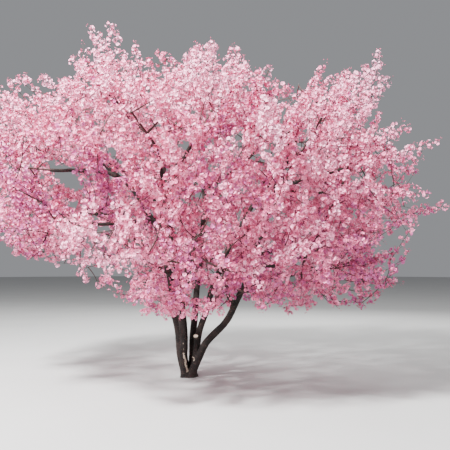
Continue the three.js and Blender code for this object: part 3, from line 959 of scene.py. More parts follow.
def dress_spray(twig, chance):
    """The main shoot on a spray's axis, and its side shoots. The main shoot can bear fine twigs too."""
    direction = twig.spray["direction"]
    length = SPRAY["length"] * twig.spray["size"]
    axis = Twig(twig.spray["tests"][-1, :3], twig, twig.end, False)
    axis.line = shoot_line(twig.end, direction, length, chance)
    add_shoot(axis.line, twig)
    across = crosswise(direction, chance)
    for at in SIDE_SHOOTS["at"]:
        across = -across
        way = unit(direction + across * SIDE_SHOOTS["turn"])
        side = shoot_line(along(axis.line, at), way, length * SIDE_SHOOTS["length"], chance)
        if fits_crown(side, SHOOT_PROUD) and left_out(side[-1]) < SIDE_SHOOTS["none_from"]:
            add_shoot(side)
    return axis


print("side shoots on each:", len(SIDE_SHOOTS["at"]))

# %% [markdown]
# ## Finer twigs
# More spots of the same even row are joined to the nearest twig by the same rule, and each ends in a shoot of
# its own. The plain model's twigs are straight. Here each bows a little to a side that is clear of the limbs,
# and starts where it leaves the bowed line of its parent.

# %% Finer twigs
SHOOT_TRIES = 10
LONGEST_FINE_TWIG = 0.8
FINE_TWIG_RADIUS = (0.0062, 0.0046)


def place_shoot(twig, chance):
    """A shoot on a fine twig's end, a little shorter at each try, or None."""
    length = SHOOT["length"] + SHOOT["spread"] * (next(chance) * 2 - 1)
    for size in np.linspace(1, SHOOT["shortest"], SHOOT_TRIES):
        points = shoot_line(twig.end, leaning(twig, chance), length * size, chance)
        if fits_crown(points, SHOOT_PROUD):
            return points
    return None


def twig_line(twig, chance):
    """A line from the parent's own line to the twig's end, bowed to the side that is clear of the limbs."""
    t = np.linspace(0, 1, TWIG_LINE["segments"] + 1)[:, None]
    foot = along(twig.parent.line, 1 - twig.back)
    way = twig.end - foot
    aside = crosswise(way, chance) * np.linalg.norm(way) * TWIG_LINE["bow"]
    for side in (1, -1, 0):
        line = foot + way * t + side * aside * 4 * t * (1 - t)
        if clear_of(line, TWIG_RADIUS, near(limb_samples, foot)):
            break
    return line


def grow_fine_twigs(mass, twigs):
    chance = seeded_chance(FIRST_SEED + MASSES + mass)
    for twig in twigs:
        if not twig.stem:
            twig.line = twig_line(twig, chance)
    axes = [dress_spray(twig, chance) for twig in twigs if twig.spray]
    own = fine_spots[nearest_heart(fine_spots, hearts) == mass]
    own = own[np.argsort(np.linalg.norm(own - twigs[0].end, axis=1), kind="stable")]
    grown = twigs + axes
    for p in own:
        made = join_spot(p, grown, "fine")
        if made is None or np.linalg.norm(made.end - made.foot) > LONGEST_FINE_TWIG:
            continue
        made.line = twig_line(made, chance)
        shoot = place_shoot(made, chance)
        if shoot is None or in_gap(made.line, OPEN_GAP).any():
            continue
        grown.append(made)
        stretches.append((made.line, FINE_TWIG_RADIUS))
        add_shoot(shoot, made)


for mass, twigs in enumerate(mass_twigs):
    grow_fine_twigs(mass, twigs)
finger_metres = sum(np.linalg.norm(np.diff(points, axis=0), axis=1).sum() for points in fingers)
print(len(fingers), "fingers,", round(finger_metres), "m of them in flower")

# %% [markdown]
# ## A recipe of Geometry Nodes
# A recipe is a tree of Geometry Nodes with named inputs, built here by calls. It is put on an object as a
# modifier, its inputs are set, and what it gives is turned into a plain mesh at once. The modifier then goes.

# %% A recipe
class Recipe(Wiring):
    """A tree of Geometry Nodes with named inputs."""

    def __init__(self, name):
        super().__init__(bpy.data.node_groups.new(name, "GeometryNodeTree"))
        self.start = self.nodes.new("NodeGroupInput")
        self.end = self.nodes.new("NodeGroupOutput")
        self.tree.interface.new_socket("Geometry", in_out="OUTPUT", socket_type="NodeSocketGeometry")

    def asks(self, name, kind):
        self.tree.interface.new_socket(name, in_out="INPUT", socket_type=f"NodeSocket{kind}")
        return Signal(self, self.start.outputs[name])

    def stored(self, name, data_type):
        return self.node("GeometryNodeInputNamedAttribute", {"data_type": data_type}, name)

    def gives(self, shape, material):
        plain = self.node("GeometryNodeRealizeInstances", {}, shape)
        dressed = self.node("GeometryNodeSetMaterial", {}, plain, None, material)
        self.links.new(dressed.socket, self.end.inputs[0])

    def run(self, name, mesh, **values):
        """A plain object from a mesh that goes through the recipe."""
        made = show(name, mesh)
        modifier = made.modifiers.new(name, "NODES")
        modifier.node_group = self.tree
        for item in self.tree.interface.items_tree:
            if item.in_out == "INPUT" and item.name in values:
                modifier[item.identifier] = values[item.name]
        return settle(made)


def show(name, mesh):
    made = bpy.data.objects.new(name, mesh)
    bpy.context.scene.collection.objects.link(made)
    return made


def settle(made):
    """Turns what the modifiers give into the object's own mesh, and removes them."""
    mesh = bpy.data.meshes.new_from_object(made.evaluated_get(bpy.context.evaluated_depsgraph_get()))
    made.modifiers.clear()
    made.data = mesh
    mesh.name = made.name
    return made


print("a recipe gives a plain mesh of its own")

# %% [markdown]
# ## Twigs as tubes along lines
# Each twig could be a cylinder of its own, but a recipe is shorter: it takes lines with a thickness at each
# point, turns them into curves, and runs a small circle along them. Its sides are an input, so thick twigs
# can be rounder than thin ones.

# %% The recipe for tubes
def points_mesh(name, points, edges=(), **attributes):
    mesh = bpy.data.meshes.new(name)
    mesh.from_pydata([tuple(p) for p in points], list(edges), [])
    for key, values in attributes.items():
        kind = "FLOAT" if np.ndim(values) == 1 else "FLOAT_VECTOR"
        layer = mesh.attributes.new(key, kind, "POINT")
        layer.data.foreach_set("value" if kind == "FLOAT" else "vector", np.ravel(values))
    return mesh


def triangles(thing):
    thing.data.calc_loop_triangles()
    return len(thing.data.loop_triangles)


tubes = Recipe("tubes_along_lines")
lines = tubes.asks("Geometry", "Geometry")
sides = tubes.asks("Sides", "Int")
material = tubes.asks("Material", "Material")
paths = tubes.node("GeometryNodeMeshToCurve", {}, lines)
ring = tubes.node("GeometryNodeCurvePrimitiveCircle", {}, sides, 1.0)
skin = tubes.node("GeometryNodeCurveToMesh", {}, paths, ring, tubes.stored("thickness", "FLOAT"), True)
tubes.gives(skin, material)
print("inputs of the recipe:", [item.name for item in tubes.tree.interface.items_tree])

# %% [markdown]
# ## The twigs
# The stem of a mass goes on from the tip of its bough, thick as that tip, and thins as it gives off twigs.
# What a twig carries sets its thickness. Fine twigs and shoots are three-sided, because they are a few
# millimetres thick.

# %% Twigs
TWIG_SIDES = 3
MASS_STEM_SIDES = 6
SUNK = 0.03
TWIG_TAPER = 1.15
twig_bark = clouded("twig_bark", roughness=0.8, scale=40,
                    first=from_screen(40, 26, 24), second=from_screen(84, 58, 54))


def line_set(rows):
    """Points, edges and thickness of many separate lines."""
    points = np.concatenate([row[0] for row in rows])
    thickness = np.concatenate([np.linspace(*radii, len(line)) for line, radii in rows])
    edges = []
    first = 0
    for line, _ in rows:
        edges += [(at, at + 1) for at in range(first, first + len(line) - 1)]
        first += len(line)
    return points, edges, thickness


def add_twigs(name, rows, sides):
    points, edges, thickness = line_set(rows)
    mesh = points_mesh(name, points, edges, thickness=thickness)
    made = tubes.run(name, mesh, Sides=sides, Material=twig_bark)
    made.data.shade_smooth()
    print(name + ":", len(rows), "lines,", triangles(made), "triangles")
    return made


mass_stem_rows = []
for mass, twigs in enumerate(mass_twigs):
    stem = [twig for twig in twigs if twig.stem]
    limb = limb_of_mass[mass]
    sunk = stem[0].end - limb.tangent(len(limb.points) - 1) * SUNK
    line = np.array([sunk] + [twig.end for twig in stem])
    mass_stem_rows.append((line, (MASS_STEM["radius"], stem[-1].radius())))
    stretches += [(t.line, (t.radius() * TWIG_TAPER, t.radius())) for t in twigs if not t.stem]
mass_stem_piece = add_twigs("mass_stems", mass_stem_rows, MASS_STEM_SIDES)
twig_piece = add_twigs("twigs", stretches, TWIG_SIDES)

# %% [markdown]
# ## Spurs along the shoots
# A cherry bears its flowers in clumps: short spurs stand along a shoot to all sides, and the flowers spring
# from their tips. Successive spurs turn on by the golden angle, so that no two lie in line. Where the crown
# is airy, more spurs are missing.

# %% Spurs
SPUR_EVERY = 0.05
SPUR_LENGTH = (0.006, 0.055)
SPUR_FORWARD = 0.35
SPURS_KEPT = {"share": 0.9, "less_where_airy": 0.3}
GOLDEN_ANGLE = math.radians(137.508)
UNEVEN = 0.2
NEVER_ALONG = UP + 0.01  # no way of a shoot or a spur lies quite along it


def unit_rows(rows):
    return rows / np.linalg.norm(rows, axis=1, keepdims=True)


def walk(points, every):
    """Places and directions at even distances along a line."""
    steps = np.diff(points, axis=0)
    lengths = np.linalg.norm(steps, axis=1)
    at = np.arange(every / 2, lengths.sum(), every)
    ends = np.cumsum(lengths)
    part = np.minimum(np.searchsorted(ends, at), len(steps) - 1)
    share = (at - (ends - lengths)[part]) / lengths[part]
    return points[:-1][part] + steps[part] * share[:, None], (steps / lengths[:, None])[part]


def turned_on(ways):
    """Directions square to the given ones, each a golden angle on from the one before."""
    sideways = unit_rows(np.cross(ways, NEVER_ALONG))
    turned = np.arange(len(ways))[:, None] * GOLDEN_ANGLE
    return sideways * np.cos(turned) + np.cross(ways, sideways) * np.sin(turned)


walks = [walk(points, SPUR_EVERY) for points in fingers]
spur_feet = np.concatenate([places for places, _ in walks])
shoot_ways = np.concatenate([ways for _, ways in walks])
finger_of_spur = np.repeat(np.arange(len(walks)), [len(places) for places, _ in walks])
spur_ways = turned_on(shoot_ways) + shoot_ways * SPUR_FORWARD
keep_share = SPURS_KEPT["share"] * (1 - SPURS_KEPT["less_where_airy"] * left_out(spur_feet))
kept = rng.random(len(spur_feet)) < keep_share
spur_feet, spur_ways, finger_of_spur = spur_feet[kept], spur_ways[kept], finger_of_spur[kept]
airy = left_out(spur_feet)
spur_ways = unit_rows(spur_ways + rng.normal(size=spur_ways.shape) * UNEVEN)
spur_lengths = rng.uniform(*SPUR_LENGTH, len(spur_feet))
spur_tips = spur_feet + spur_ways * spur_lengths[:, None]
print("spurs:", len(spur_tips))

# %% [markdown]
# ## Flowers on the spurs
# From the tip of each spur spring several flowers on stalks of their own. They are spread over a dome, from
# its top down, each a golden angle on from the one before, and turn up a little to the light. A spur in an
# airy place bears fewer. This gives each flower a place, a direction to face, and a stalk from the spur.

# %% Places of the flowers
FLOWERS_ON_SPUR = (4, 5, 6, 7, 8)
FEWER_WHERE_AIRY = 0.55
STALK = (0.012, 0.044)
DOME = 1.45
TURNED_UP = 0.15

on_spur = rng.choice(FLOWERS_ON_SPUR, len(spur_tips)) * (1 - FEWER_WHERE_AIRY * airy)
on_spur = np.ceil(on_spur).astype(int)
spur_of_flower = np.repeat(np.arange(len(spur_tips)), on_spur)
flowers = len(spur_of_flower)
first_on_spur = np.cumsum(on_spur) - on_spur
down_dome = (np.arange(flowers) - first_on_spur[spur_of_flower] + 0.5) / on_spur[spur_of_flower]
ahead = (1 - DOME * down_dome)[:, None]
dome_ways = spur_ways[spur_of_flower]
stalk_ways = dome_ways * ahead + turned_on(dome_ways) * np.sqrt(1 - ahead**2)
stalk_ways = unit_rows(stalk_ways + UP * TURNED_UP + rng.normal(size=(flowers, 3)) * UNEVEN)
stalk_lengths = rng.uniform(*STALK, flowers)
stalk_feet = spur_tips[spur_of_flower]
flower_places = stalk_feet + stalk_ways * stalk_lengths[:, None]
facing = unit_rows(stalk_ways + rng.normal(size=(flowers, 3)) * UNEVEN)
print(len(spur_tips), "spurs with", flowers, "flowers")

# %% [markdown]
# ## One flower, one stalk, one bud
# A flower is five broad petals, cupped a little, and each is one triangle, because there are so many. Its
# eye, a tuft of stamens, is a small triangle over their middle. A stalk is a three-sided cone that widens to
# the flower, and a spur is one that narrows. A bud is a pointed drop. Each is made once, one unit large.

# %% Flower, stalk and bud
PETALS = 5
PETAL = {"half_angle": math.radians(31), "rims": (0.34, 0.5)}
EYE_TUFT = {"radius": 0.3, "height": 0.2}
STALK_THICK = 0.0014
SPUR_THICK = 0.003
BUD = {"radius": 0.5, "widest_at": 0.45, "length": 1.25}


def shape(name, corners, faces):
    mesh = bpy.data.meshes.new(name)
    mesh.from_pydata([tuple(p) for p in corners], [], faces)
    return show(name, mesh)


def around(radius, angle, height):
    return (radius * math.cos(angle), radius * math.sin(angle), height)


def three_around(radius, height):
    return [around(radius, 2 * math.pi * corner / 3, height) for corner in range(3)]


def make_flower():
    corners = [(0, 0, 0)]
    faces = []
    for petal in range(PETALS):
        middle = 2 * math.pi * petal / PETALS
        at = len(corners)
        for side, rim in zip((-1, 1), PETAL["rims"]):
            corners.append(around(1, middle + side * PETAL["half_angle"], rim))
        faces.append((0, at, at + 1))
    return shape("one_flower", corners, faces)


def make_cone(name, radius, wide_at):
    """A three-sided cone one unit long, wide at its foot, 0, or at its head, 1."""
    corners = [*three_around(radius, wide_at), (0, 0, 1 - wide_at)]
    faces = [(side, (side + 1) % 3, 3) for side in range(3)]
    if wide_at:
        faces = [(after, side, point) for side, after, point in faces]
    return shape(name, corners, faces)


def make_bud():
    corners = [(0, 0, 0), *three_around(BUD["radius"], BUD["widest_at"]), (0, 0, BUD["length"])]
    faces = []
    for side in range(3):
        after = (side + 1) % 3
        faces += [(0, 1 + after, 1 + side), (4, 1 + side, 1 + after)]
    return shape("one_bud", corners, faces)


one_flower = make_flower()
one_eye = shape("one_eye", three_around(EYE_TUFT["radius"], EYE_TUFT["height"]), [(0, 1, 2)])
one_stalk = make_cone("one_stalk", STALK_THICK, 1)
one_spur = make_cone("one_spur", SPUR_THICK, 0)
one_bud = make_bud()
print("triangles of a flower:", triangles(one_flower))

# %% [markdown]
# ## Pieces on points
# A recipe sets copies of a small piece on points: it turns the piece's own Z to where the point faces, spins
# it at random, varies its size by a share, and stretches it by a length that the point holds.

# %% The recipe that sets pieces
setting = Recipe("pieces_on_points")
points = setting.asks("Geometry", "Geometry")
piece = setting.asks("Piece", "Object")
size = setting.asks("Size", "Float")
spread = setting.asks("Spread", "Float")
seed = setting.asks("Seed", "Int")
material = setting.asks("Material", "Material")
model = setting.node("GeometryNodeObjectInfo", {}, piece, output="Geometry")
chance_of_size = setting.node("FunctionNodeRandomValue", {"data_type": "FLOAT"}, -1, 1, None, seed, output=1)
spin = setting.node("FunctionNodeRandomValue", {"data_type": "FLOAT"}, 0, 2 * math.pi, None, seed, output=1)
own_size = size * (chance_of_size * spread + 1)
tall = own_size * setting.stored("stretch", "FLOAT")
scale = setting.node("ShaderNodeCombineXYZ", {}, own_size, own_size, tall)
faced = setting.node("FunctionNodeAlignRotationToVector", {"axis": "Z"}, None, None,
                     setting.stored("facing", "FLOAT_VECTOR"))
spun = setting.node("FunctionNodeAxisAngleToRotation", {}, (0, 0, 1), spin)
turn = setting.node("FunctionNodeRotateRotation", {"rotation_space": "LOCAL"}, faced, spun)
placed = setting.node("GeometryNodeInstanceOnPoints", {}, points, None, model, None, None, turn, scale)
setting.gives(placed, material)
print("inputs of the recipe:", [item.name for item in setting.tree.interface.items_tree])

# %% [markdown]
# ## Shades of pink
# The crown isn't one pink. Freshly open flowers are deep, the palest are nearly white, and the rest are
# between. They lie in loose patches with strays in them, so each flower gets a rank from a smooth noise over
# the crown, its height and some chance, and the row of ranks is cut into shares, one for each shade. The
# height part is painted light and shade: higher flowers get paler shades and lower ones deeper, as if the
# top of the crown were in the sun and the lower boughs in its shade. The shade is a plain colour of its own
# piece, with only a faint cloud over it, because a pattern that has to fall on a certain petal would slip
# when the tree is exported.

# %% Petals
PETAL_SHADES = {
    "pale": (255, 180, 210),
    "light": (252, 154, 192),
    "rose": (240, 126, 168),
    "deep": (208, 90, 136),
    "mauve": (198, 96, 156),
}
SHADE_SHARES = (0.2, 0.3, 0.28, 0.12, 0.1)
PATCHES = {"scale": 0.9, "own": 0.26, "painted_light_each_metre": 0.16}
FLOWER_SIZE = 0.0238
FLOWER_SPREAD = 0.14
EYE_RED = (176, 40, 84)
PETAL_CLOUD = {"scale": 25, "darker": 0.82}


def petal_finish(name, shade):
    paler = from_screen(*shade)
    darker = [PETAL_CLOUD["darker"] * part for part in paler]
    return clouded(name, roughness=0.62, scale=PETAL_CLOUD["scale"], first=darker, second=paler)


patch_of_finger = np.array([noise.noise(Vector(points[-1]) * PATCHES["scale"]) for points in fingers])
# Painted light and shade: the higher a flower stands, the paler its shade, and the lower, the deeper.
rank = patch_of_finger[finger_of_spur[spur_of_flower]] - flower_places[:, 2] * PATCHES["painted_light_each_metre"]
rank = rank + rng.normal(size=flowers) * PATCHES["own"]
shade_of_flower = np.searchsorted(np.quantile(rank, np.cumsum(SHADE_SHARES)[:-1]), rank)
petal_pieces = []
for number, (shade, colour) in enumerate(PETAL_SHADES.items()):
    chosen = shade_of_flower == number
    mesh = points_mesh(shade, flower_places[chosen], facing=facing[chosen], stretch=np.ones(chosen.sum()))
    made = setting.run(f"petals_{shade}", mesh, Piece=one_flower, Size=FLOWER_SIZE, Spread=FLOWER_SPREAD,
                       Seed=number, Material=petal_finish(f"petal_{shade}", colour))
    petal_pieces.append(made)
    print(made.name + ":", chosen.sum(), "flowers,", triangles(made), "triangles")
mesh = points_mesh("eyes", flower_places, facing=facing, stretch=np.ones(flowers))
eye_piece = setting.run("eyes", mesh, Piece=one_eye, Size=FLOWER_SIZE, Spread=FLOWER_SPREAD,
                        Seed=len(PETAL_SHADES), Material=petal_finish("eye_red", EYE_RED))
print(eye_piece.name + ":", triangles(eye_piece), "triangles")

# %% [markdown]
# ## Stalks, spurs and buds
# Stalks are thin, but they give the eye the dark green-red tint that lies between the flowers. Spurs have the
# twigs' bark. A few buds still stand closed at the tip of each shoot.

# %% Stalks, spurs and buds
STALK_PIECES = 2
BUDS_AT_TIP = 4
BUD_SIZE = 0.013
BUD_SPREAD = 0.3
BUD_SCATTER = 0.7
BUD_ROSE = (204, 84, 124)
BUD_SEED = 9
stalk_skin = clouded("stalk_skin", roughness=0.6, scale=30,
                     first=from_screen(120, 52, 60), second=from_screen(140, 104, 70))
stalk_pieces = []
for number in range(STALK_PIECES):
    chosen = np.arange(flowers) % STALK_PIECES == number
    mesh = points_mesh("stalks", stalk_feet[chosen], facing=stalk_ways[chosen], stretch=stalk_lengths[chosen])
    stalk_pieces.append(setting.run(f"stalks_{number + 1}", mesh, Piece=one_stalk, Size=1.0, Spread=0.0,
                                    Seed=number, Material=stalk_skin))
    print(stalk_pieces[-1].name + ":", triangles(stalk_pieces[-1]), "triangles")

mesh = points_mesh("spurs", spur_feet, facing=spur_ways, stretch=spur_lengths)
spur_piece = setting.run("spurs", mesh, Piece=one_spur, Size=1.0, Spread=0.0, Seed=0, Material=twig_bark)
print(spur_piece.name + ":", len(spur_feet), "spurs,", triangles(spur_piece), "triangles")

tips = np.repeat([points[-1] for points in fingers], BUDS_AT_TIP, axis=0)
tip_ways = np.repeat([unit(points[-1] - points[-2]) for points in fingers], BUDS_AT_TIP, axis=0)
bud_ways = unit_rows(tip_ways + rng.normal(size=tips.shape) * BUD_SCATTER)
bud_places = tips + bud_ways * rng.uniform(*STALK, len(tips))[:, None]
mesh = points_mesh("buds", bud_places, facing=bud_ways, stretch=np.ones(len(tips)))
bud_piece = setting.run("buds", mesh, Piece=one_bud, Size=BUD_SIZE, Spread=BUD_SPREAD, Seed=BUD_SEED,
                        Material=petal_finish("bud_rose", BUD_ROSE))
for model in (one_flower, one_eye, one_stalk, one_spur, one_bud):
    bpy.data.objects.remove(model)
print(bud_piece.name + ":", len(tips), "buds,", triangles(bud_piece), "triangles")

# %% [markdown]
# ## Rings around a line
# A limb is made as rings around its line, close enough to hold the relief of bark. The line is smoothed
# first, because the plain model's has corners. The frame of a ring turns as little as it can from the one
# before, so the relief doesn't twist.

# %% Rings around a line
RINGS_PER_STEP = 3


def smoothed(rows, parts):
    """Rows of numbers with more rows between them, on a smooth line through all."""
    rows = np.asarray(rows, float)
    padded = np.concatenate([[2 * rows[0] - rows[1]], rows, [2 * rows[-1] - rows[-2]]])
    t = np.linspace(0, 1, parts, endpoint=False)[:, None]
    made = []
    for a, b, c, d in zip(padded, padded[1:], padded[2:], padded[3:]):
        made.append(0.5 * (2 * b + (c - a) * t + (2 * a - 5 * b + 4 * c - d) * t**2
                           + (3 * b - a - 3 * c + d) * t**3))
    return np.concatenate([*made, rows[-1:]])


class Rings:
    """Places along a limb with a radius, a length so far, and two directions square to it."""

    def __init__(self, limb, parts):
        rows = smoothed(np.column_stack([limb.points, limb.radii]), parts)
        self.places = rows[:, :3]
        self.radii = rows[:, 3]
        steps = np.diff(self.places, axis=0)
        self.reached = np.concatenate([[0], np.cumsum(np.linalg.norm(steps, axis=1))])
        self.ways = unit_rows(np.gradient(self.places, axis=0))
        side = np.eye(3)[np.argmin(abs(self.ways[0]))]
        self.first = []
        for way in self.ways:
            side = unit(side - way * (side @ way))
            self.first.append(side)
        self.first = np.array(self.first)
        self.second = np.cross(self.ways, self.first)


limb_rings = [Rings(limb, RINGS_PER_STEP) for limb in stems + boughs]
print("rings:", sum(len(rings.places) for rings in limb_rings))

# %% [markdown]
# ## Limbs with bark
# Old cherry bark is never round: it has shallow flutes, swellings where boughs leave, and a foot that spreads
# over the ground. A bough also gets thin inside its stem, so that it never comes out on the far side.

# %% Bark's relief
STEM_SIDES = 22
BOUGH_SIDES = 12
FLUTES = {"two": 0.05, "three": 0.045, "wander": 5.0}
ROUGH = {"size": 0.0026, "scale": 26.0, "fine": 0.0011, "fine_scale": 80.0, "full_from": 0.04}
FOOT_SPREAD = {"more": 0.42, "height": 0.07}
COLLAR = {"more": 0.4, "length": 0.05, "sunk": 0.04, "start": 0.3}


def relief(p, angle, radius, seed):
    """How far bark stands out of a plain round limb at a place."""
    wander = noise.noise(Vector((0, seed, p.z * FLUTES["wander"])))
    flutes = FLUTES["two"] * math.cos(2 * angle + 2 * wander)
    flutes += FLUTES["three"] * math.cos(3 * angle - 3 * wander)
    rough = noise.noise(p * ROUGH["scale"]) * ROUGH["size"]
    rough += noise.noise(p * ROUGH["fine_scale"]) * ROUGH["fine"]
    return radius * flutes + rough * min(1, radius / ROUGH["full_from"])


def ring_faces(rings, sides):
    """The faces of a closed shape of rings: a band between each two, and a cap at each end."""
    last = rings - 1
    faces = [tuple(range(sides))[::-1], tuple(range(last * sides, rings * sides))]
    for at in range(last):
        for side in range(sides):
            after = (side + 1) % sides
            faces.append((at * sides + side, at * sides + after,
                          (at + 1) * sides + after, (at + 1) * sides + side))
    return faces


def limb_shape(name, rings, sides, seed, widened):
    """A closed shape around a line, with bark's relief."""
    corners = []
    for at, place in enumerate(rings.places):
        radius = rings.radii[at] * widened(rings.reached[at], place[2])
        for side in range(sides):
            angle = 2 * math.pi * side / sides
            way = Vector(rings.first[at] * math.cos(angle) + rings.second[at] * math.sin(angle))
            plain = Vector(place) + way * radius
            corners.append(plain + way * relief(plain, angle, radius, seed))
    return shape(name, corners, ring_faces(len(rings.places), sides))


def foot_spread(reached, height):
    return 1 + FOOT_SPREAD["more"] * math.exp(-max(0, height) / FOOT_SPREAD["height"])


def collar(reached, height):
    """A bough starts thin in the middle of its stem, and swells where it comes out."""
    swell = 1 + COLLAR["more"] * math.exp(-max(0, reached - COLLAR["sunk"]) / COLLAR["length"])
    return swell * min(1, COLLAR["start"] + (1 - COLLAR["start"]) * reached / COLLAR["sunk"])


limb_shapes = []
for seed, (limb, rings) in enumerate(zip(stems + boughs, limb_rings)):
    sides, widened = (BOUGH_SIDES, collar) if limb.parent else (STEM_SIDES, foot_spread)
    limb_shapes.append(limb_shape(limb.name + "_bark", rings, sides, seed, widened))
print(len(limb_shapes), "limbs,", sum(triangles(limb) for limb in limb_shapes), "triangles")

# %% [markdown]
# ## The stool and the pruned stub
# All stems rise from one low stool, a mound of old wood. On its right a branch was sawn off long ago, and its
# stub is still there. The mound is a ring of lobes that closes to a dome. The stub is one more limb.

# %% Stool and stub
STOOL = {"x": 0.036, "y": 0.002, "foot": 0.12, "height": 0.11, "steps": 14, "sides": 48}
STOOL_DOME = {"power": 0.45, "flat_top": 0.02}
STOOL_FLARE = {"more": 0.12, "height": 0.03}
STOOL_LOBES = [  # lobes around, size, turned by
    (5, 0.07, 0.6),
    (9, 0.04, 0),
]
STOOL_ROUGH = 0.006
STUB = {"stem": 3, "from": 8, "end": (0.135, -0.122, 0.59), "radius": (0.037, 0.031), "steps": 12, "seed": 40}


def stool_ring(at):
    """The height of a ring of the stool, and its radius without the lobes."""
    rise = at / STOOL["steps"] * math.pi / 2
    height = -BELOW_GROUND + (STOOL["height"] + BELOW_GROUND) * math.sin(rise)
    share = math.cos(rise) ** STOOL_DOME["power"] if at < STOOL["steps"] else STOOL_DOME["flat_top"]
    flare = 1 + STOOL_FLARE["more"] * math.exp(-max(0, height) / STOOL_FLARE["height"])
    return height, STOOL["foot"] * share * flare


def make_stool():
    corners = []
    for at in range(STOOL["steps"] + 1):
        height, radius = stool_ring(at)
        for side in range(STOOL["sides"]):
            angle = 2 * math.pi * side / STOOL["sides"]
            lobes = sum((size * math.cos(count * angle + turned) for count, size, turned in STOOL_LOBES), 1)
            p = Vector(around(radius * lobes, angle, height)) + Vector((STOOL["x"], STOOL["y"], 0))
            corners.append(p + Vector(around(1, angle, 0)) * noise.noise(p * ROUGH["scale"]) * STOOL_ROUGH)
    return shape("stool", corners, ring_faces(STOOL["steps"] + 1, STOOL["sides"]))


stub_foot = stems[STUB["stem"]].points[STUB["from"]]
stub_share = np.linspace(0, 1, STUB["steps"] + 1)
stub_points = stub_foot + (np.array(STUB["end"]) - stub_foot) * stub_share[:, None]
stub_radii = STUB["radius"][0] + (STUB["radius"][1] - STUB["radius"][0]) * stub_share
stub_rings = Rings(Limb("stub", stub_points, stub_radii), 1)
stub_shape = limb_shape("stub", stub_rings, STEM_SIDES, STUB["seed"], lambda reached, height: 1)
stool_shape = make_stool()
print("stool", triangles(stool_shape), "and stub", triangles(stub_shape), "triangles")

# %% [markdown]
# ## One solid of wood
# The limbs run into one another. A Boolean modifier joins a whole collection at once and leaves one closed
# skin, with nothing hidden inside. A second one cuts all that lies below the ground.

# %% Join the wood
SOIL_HALF = 1.0


def joined_wood():
    others = bpy.data.collections.new("limbs")
    for piece in [*limb_shapes, stub_shape]:
        others.objects.link(piece)
    soil_corners = [(x, y, z) for z in (-SOIL_HALF, 0) for x, y in ((-1, -1), (1, -1), (1, 1), (-1, 1))]
    soil_faces = [(3, 2, 1, 0), (4, 5, 6, 7), (0, 1, 5, 4), (1, 2, 6, 5), (2, 3, 7, 6), (3, 0, 4, 7)]
    soil = shape("soil_cutter", soil_corners, soil_faces)
    join = stool_shape.modifiers.new("join", "BOOLEAN")
    join.operand_type = "COLLECTION"
    join.operation = "UNION"
    join.solver = "MANIFOLD"
    join.collection = others
    cut = stool_shape.modifiers.new("cut", "BOOLEAN")
    cut.operation = "DIFFERENCE"
    cut.solver = "MANIFOLD"
    cut.object = soil
    settle(stool_shape)
    for piece in [*limb_shapes, stub_shape, soil]:
        bpy.data.objects.remove(piece)
    bpy.data.collections.remove(others)
    stool_shape.name = "bark"
    return stool_shape


bark_piece = joined_wood()
print("wood:", triangles(bark_piece), "triangles")

# %% [markdown]
# ## Each corner's place on its limb
# The bark's pattern has to follow each limb, so every corner of the skin gets its place across and along the
# nearest limb, counted in that limb's own thickness. The limbs are set apart in that count, so that no two
# show the same pattern.

# %% Places along the limbs
LIMB_SHIFT = 3.7
CORNER_PARTS = 40
SHARP_FROM = math.radians(50)


def along_limbs(corners):
    """For each corner its place across the nearest limb, twice, and along it."""
    rings = [*limb_rings, stub_rings]
    places = np.concatenate([ring.places for ring in rings])
    radii = np.concatenate([ring.radii for ring in rings])
    across = [np.concatenate([getattr(ring, name) for ring in rings]) for name in ("first", "second", "ways")]
    reached = np.concatenate([ring.reached + number * LIMB_SHIFT for number, ring in enumerate(rings)])
    nearest = []
    for part in np.array_split(corners, CORNER_PARTS):
        apart = np.linalg.norm(part[:, None, :] - places, axis=-1) / radii
        nearest.append(apart.argmin(axis=1))
    nearest = np.concatenate(nearest)
    away = corners - places[nearest]
    local = [(away * way[nearest]).sum(axis=1) for way in across]
    return np.column_stack([local[0], local[1], local[2] + reached[nearest]])


bark_corners = np.empty(len(bark_piece.data.vertices) * 3)
bark_piece.data.vertices.foreach_get("co", bark_corners)
bark_corners = bark_corners.reshape(-1, 3)
layer = bark_piece.data.attributes.new("limb_place", "FLOAT_VECTOR", "POINT")
layer.data.foreach_set("vector", along_limbs(bark_corners).ravel())
bark_piece.data.shade_smooth()
bark_piece.data.set_sharp_from_angle(angle=SHARP_FROM)
print("wood:", triangles(bark_piece), "triangles, from", bark_corners.min(axis=0).round(3), "to",
      bark_corners.max(axis=0).round(3))

# %% [markdown]
# ## The colour of the bark
# Cherry bark is nearly black here, with browner patches, a fine grain, and short pale streaks that run round
# the limb, called lenticels. The streaks are a cloud that is stretched across the limb and short along it, so
# they read each corner's place on its own limb. The patches read the place in the tree.

# %% The bark's colour
BARK_PATCHES = {"scale": 9, "from": 0.35, "to": 0.7}
GRAIN = {"scale": (60, 60, 260), "from": 0.3, "to": 0.75, "share": 0.6}
STREAKS = {"scale": (26, 26, 150), "from": 0.62, "to": 0.7, "share": 0.7}
BARK_BLACK = from_screen(23, 17, 16)
BARK_BROWN = from_screen(52, 39, 35)
GRAIN_BLACK = from_screen(18, 13, 13)
STREAK_BROWN = from_screen(108, 82, 72)
bark = Finish("bark", Roughness=0.86)
bark_place = bark.place()
limb_place = bark.attribute("limb_place")
patches = bark.cloud(bark_place, BARK_PATCHES["scale"], detail=4)
grain = bark.cloud(limb_place.scaled(*GRAIN["scale"]), scale=1, detail=4)
streaks = bark.cloud(limb_place.scaled(*STREAKS["scale"]), scale=1, detail=2)
streaks = streaks.step(STREAKS["from"], STREAKS["to"])
skin = bark.mixed(patches.step(BARK_PATCHES["from"], BARK_PATCHES["to"]), BARK_BLACK, BARK_BROWN)
skin = bark.mixed(grain.step(GRAIN["from"], GRAIN["to"]) * GRAIN["share"], skin, GRAIN_BLACK)
skin = bark.mixed(streaks * STREAKS["share"], skin, STREAK_BROWN)
print("nodes of the bark so far:", len(bark.nodes))

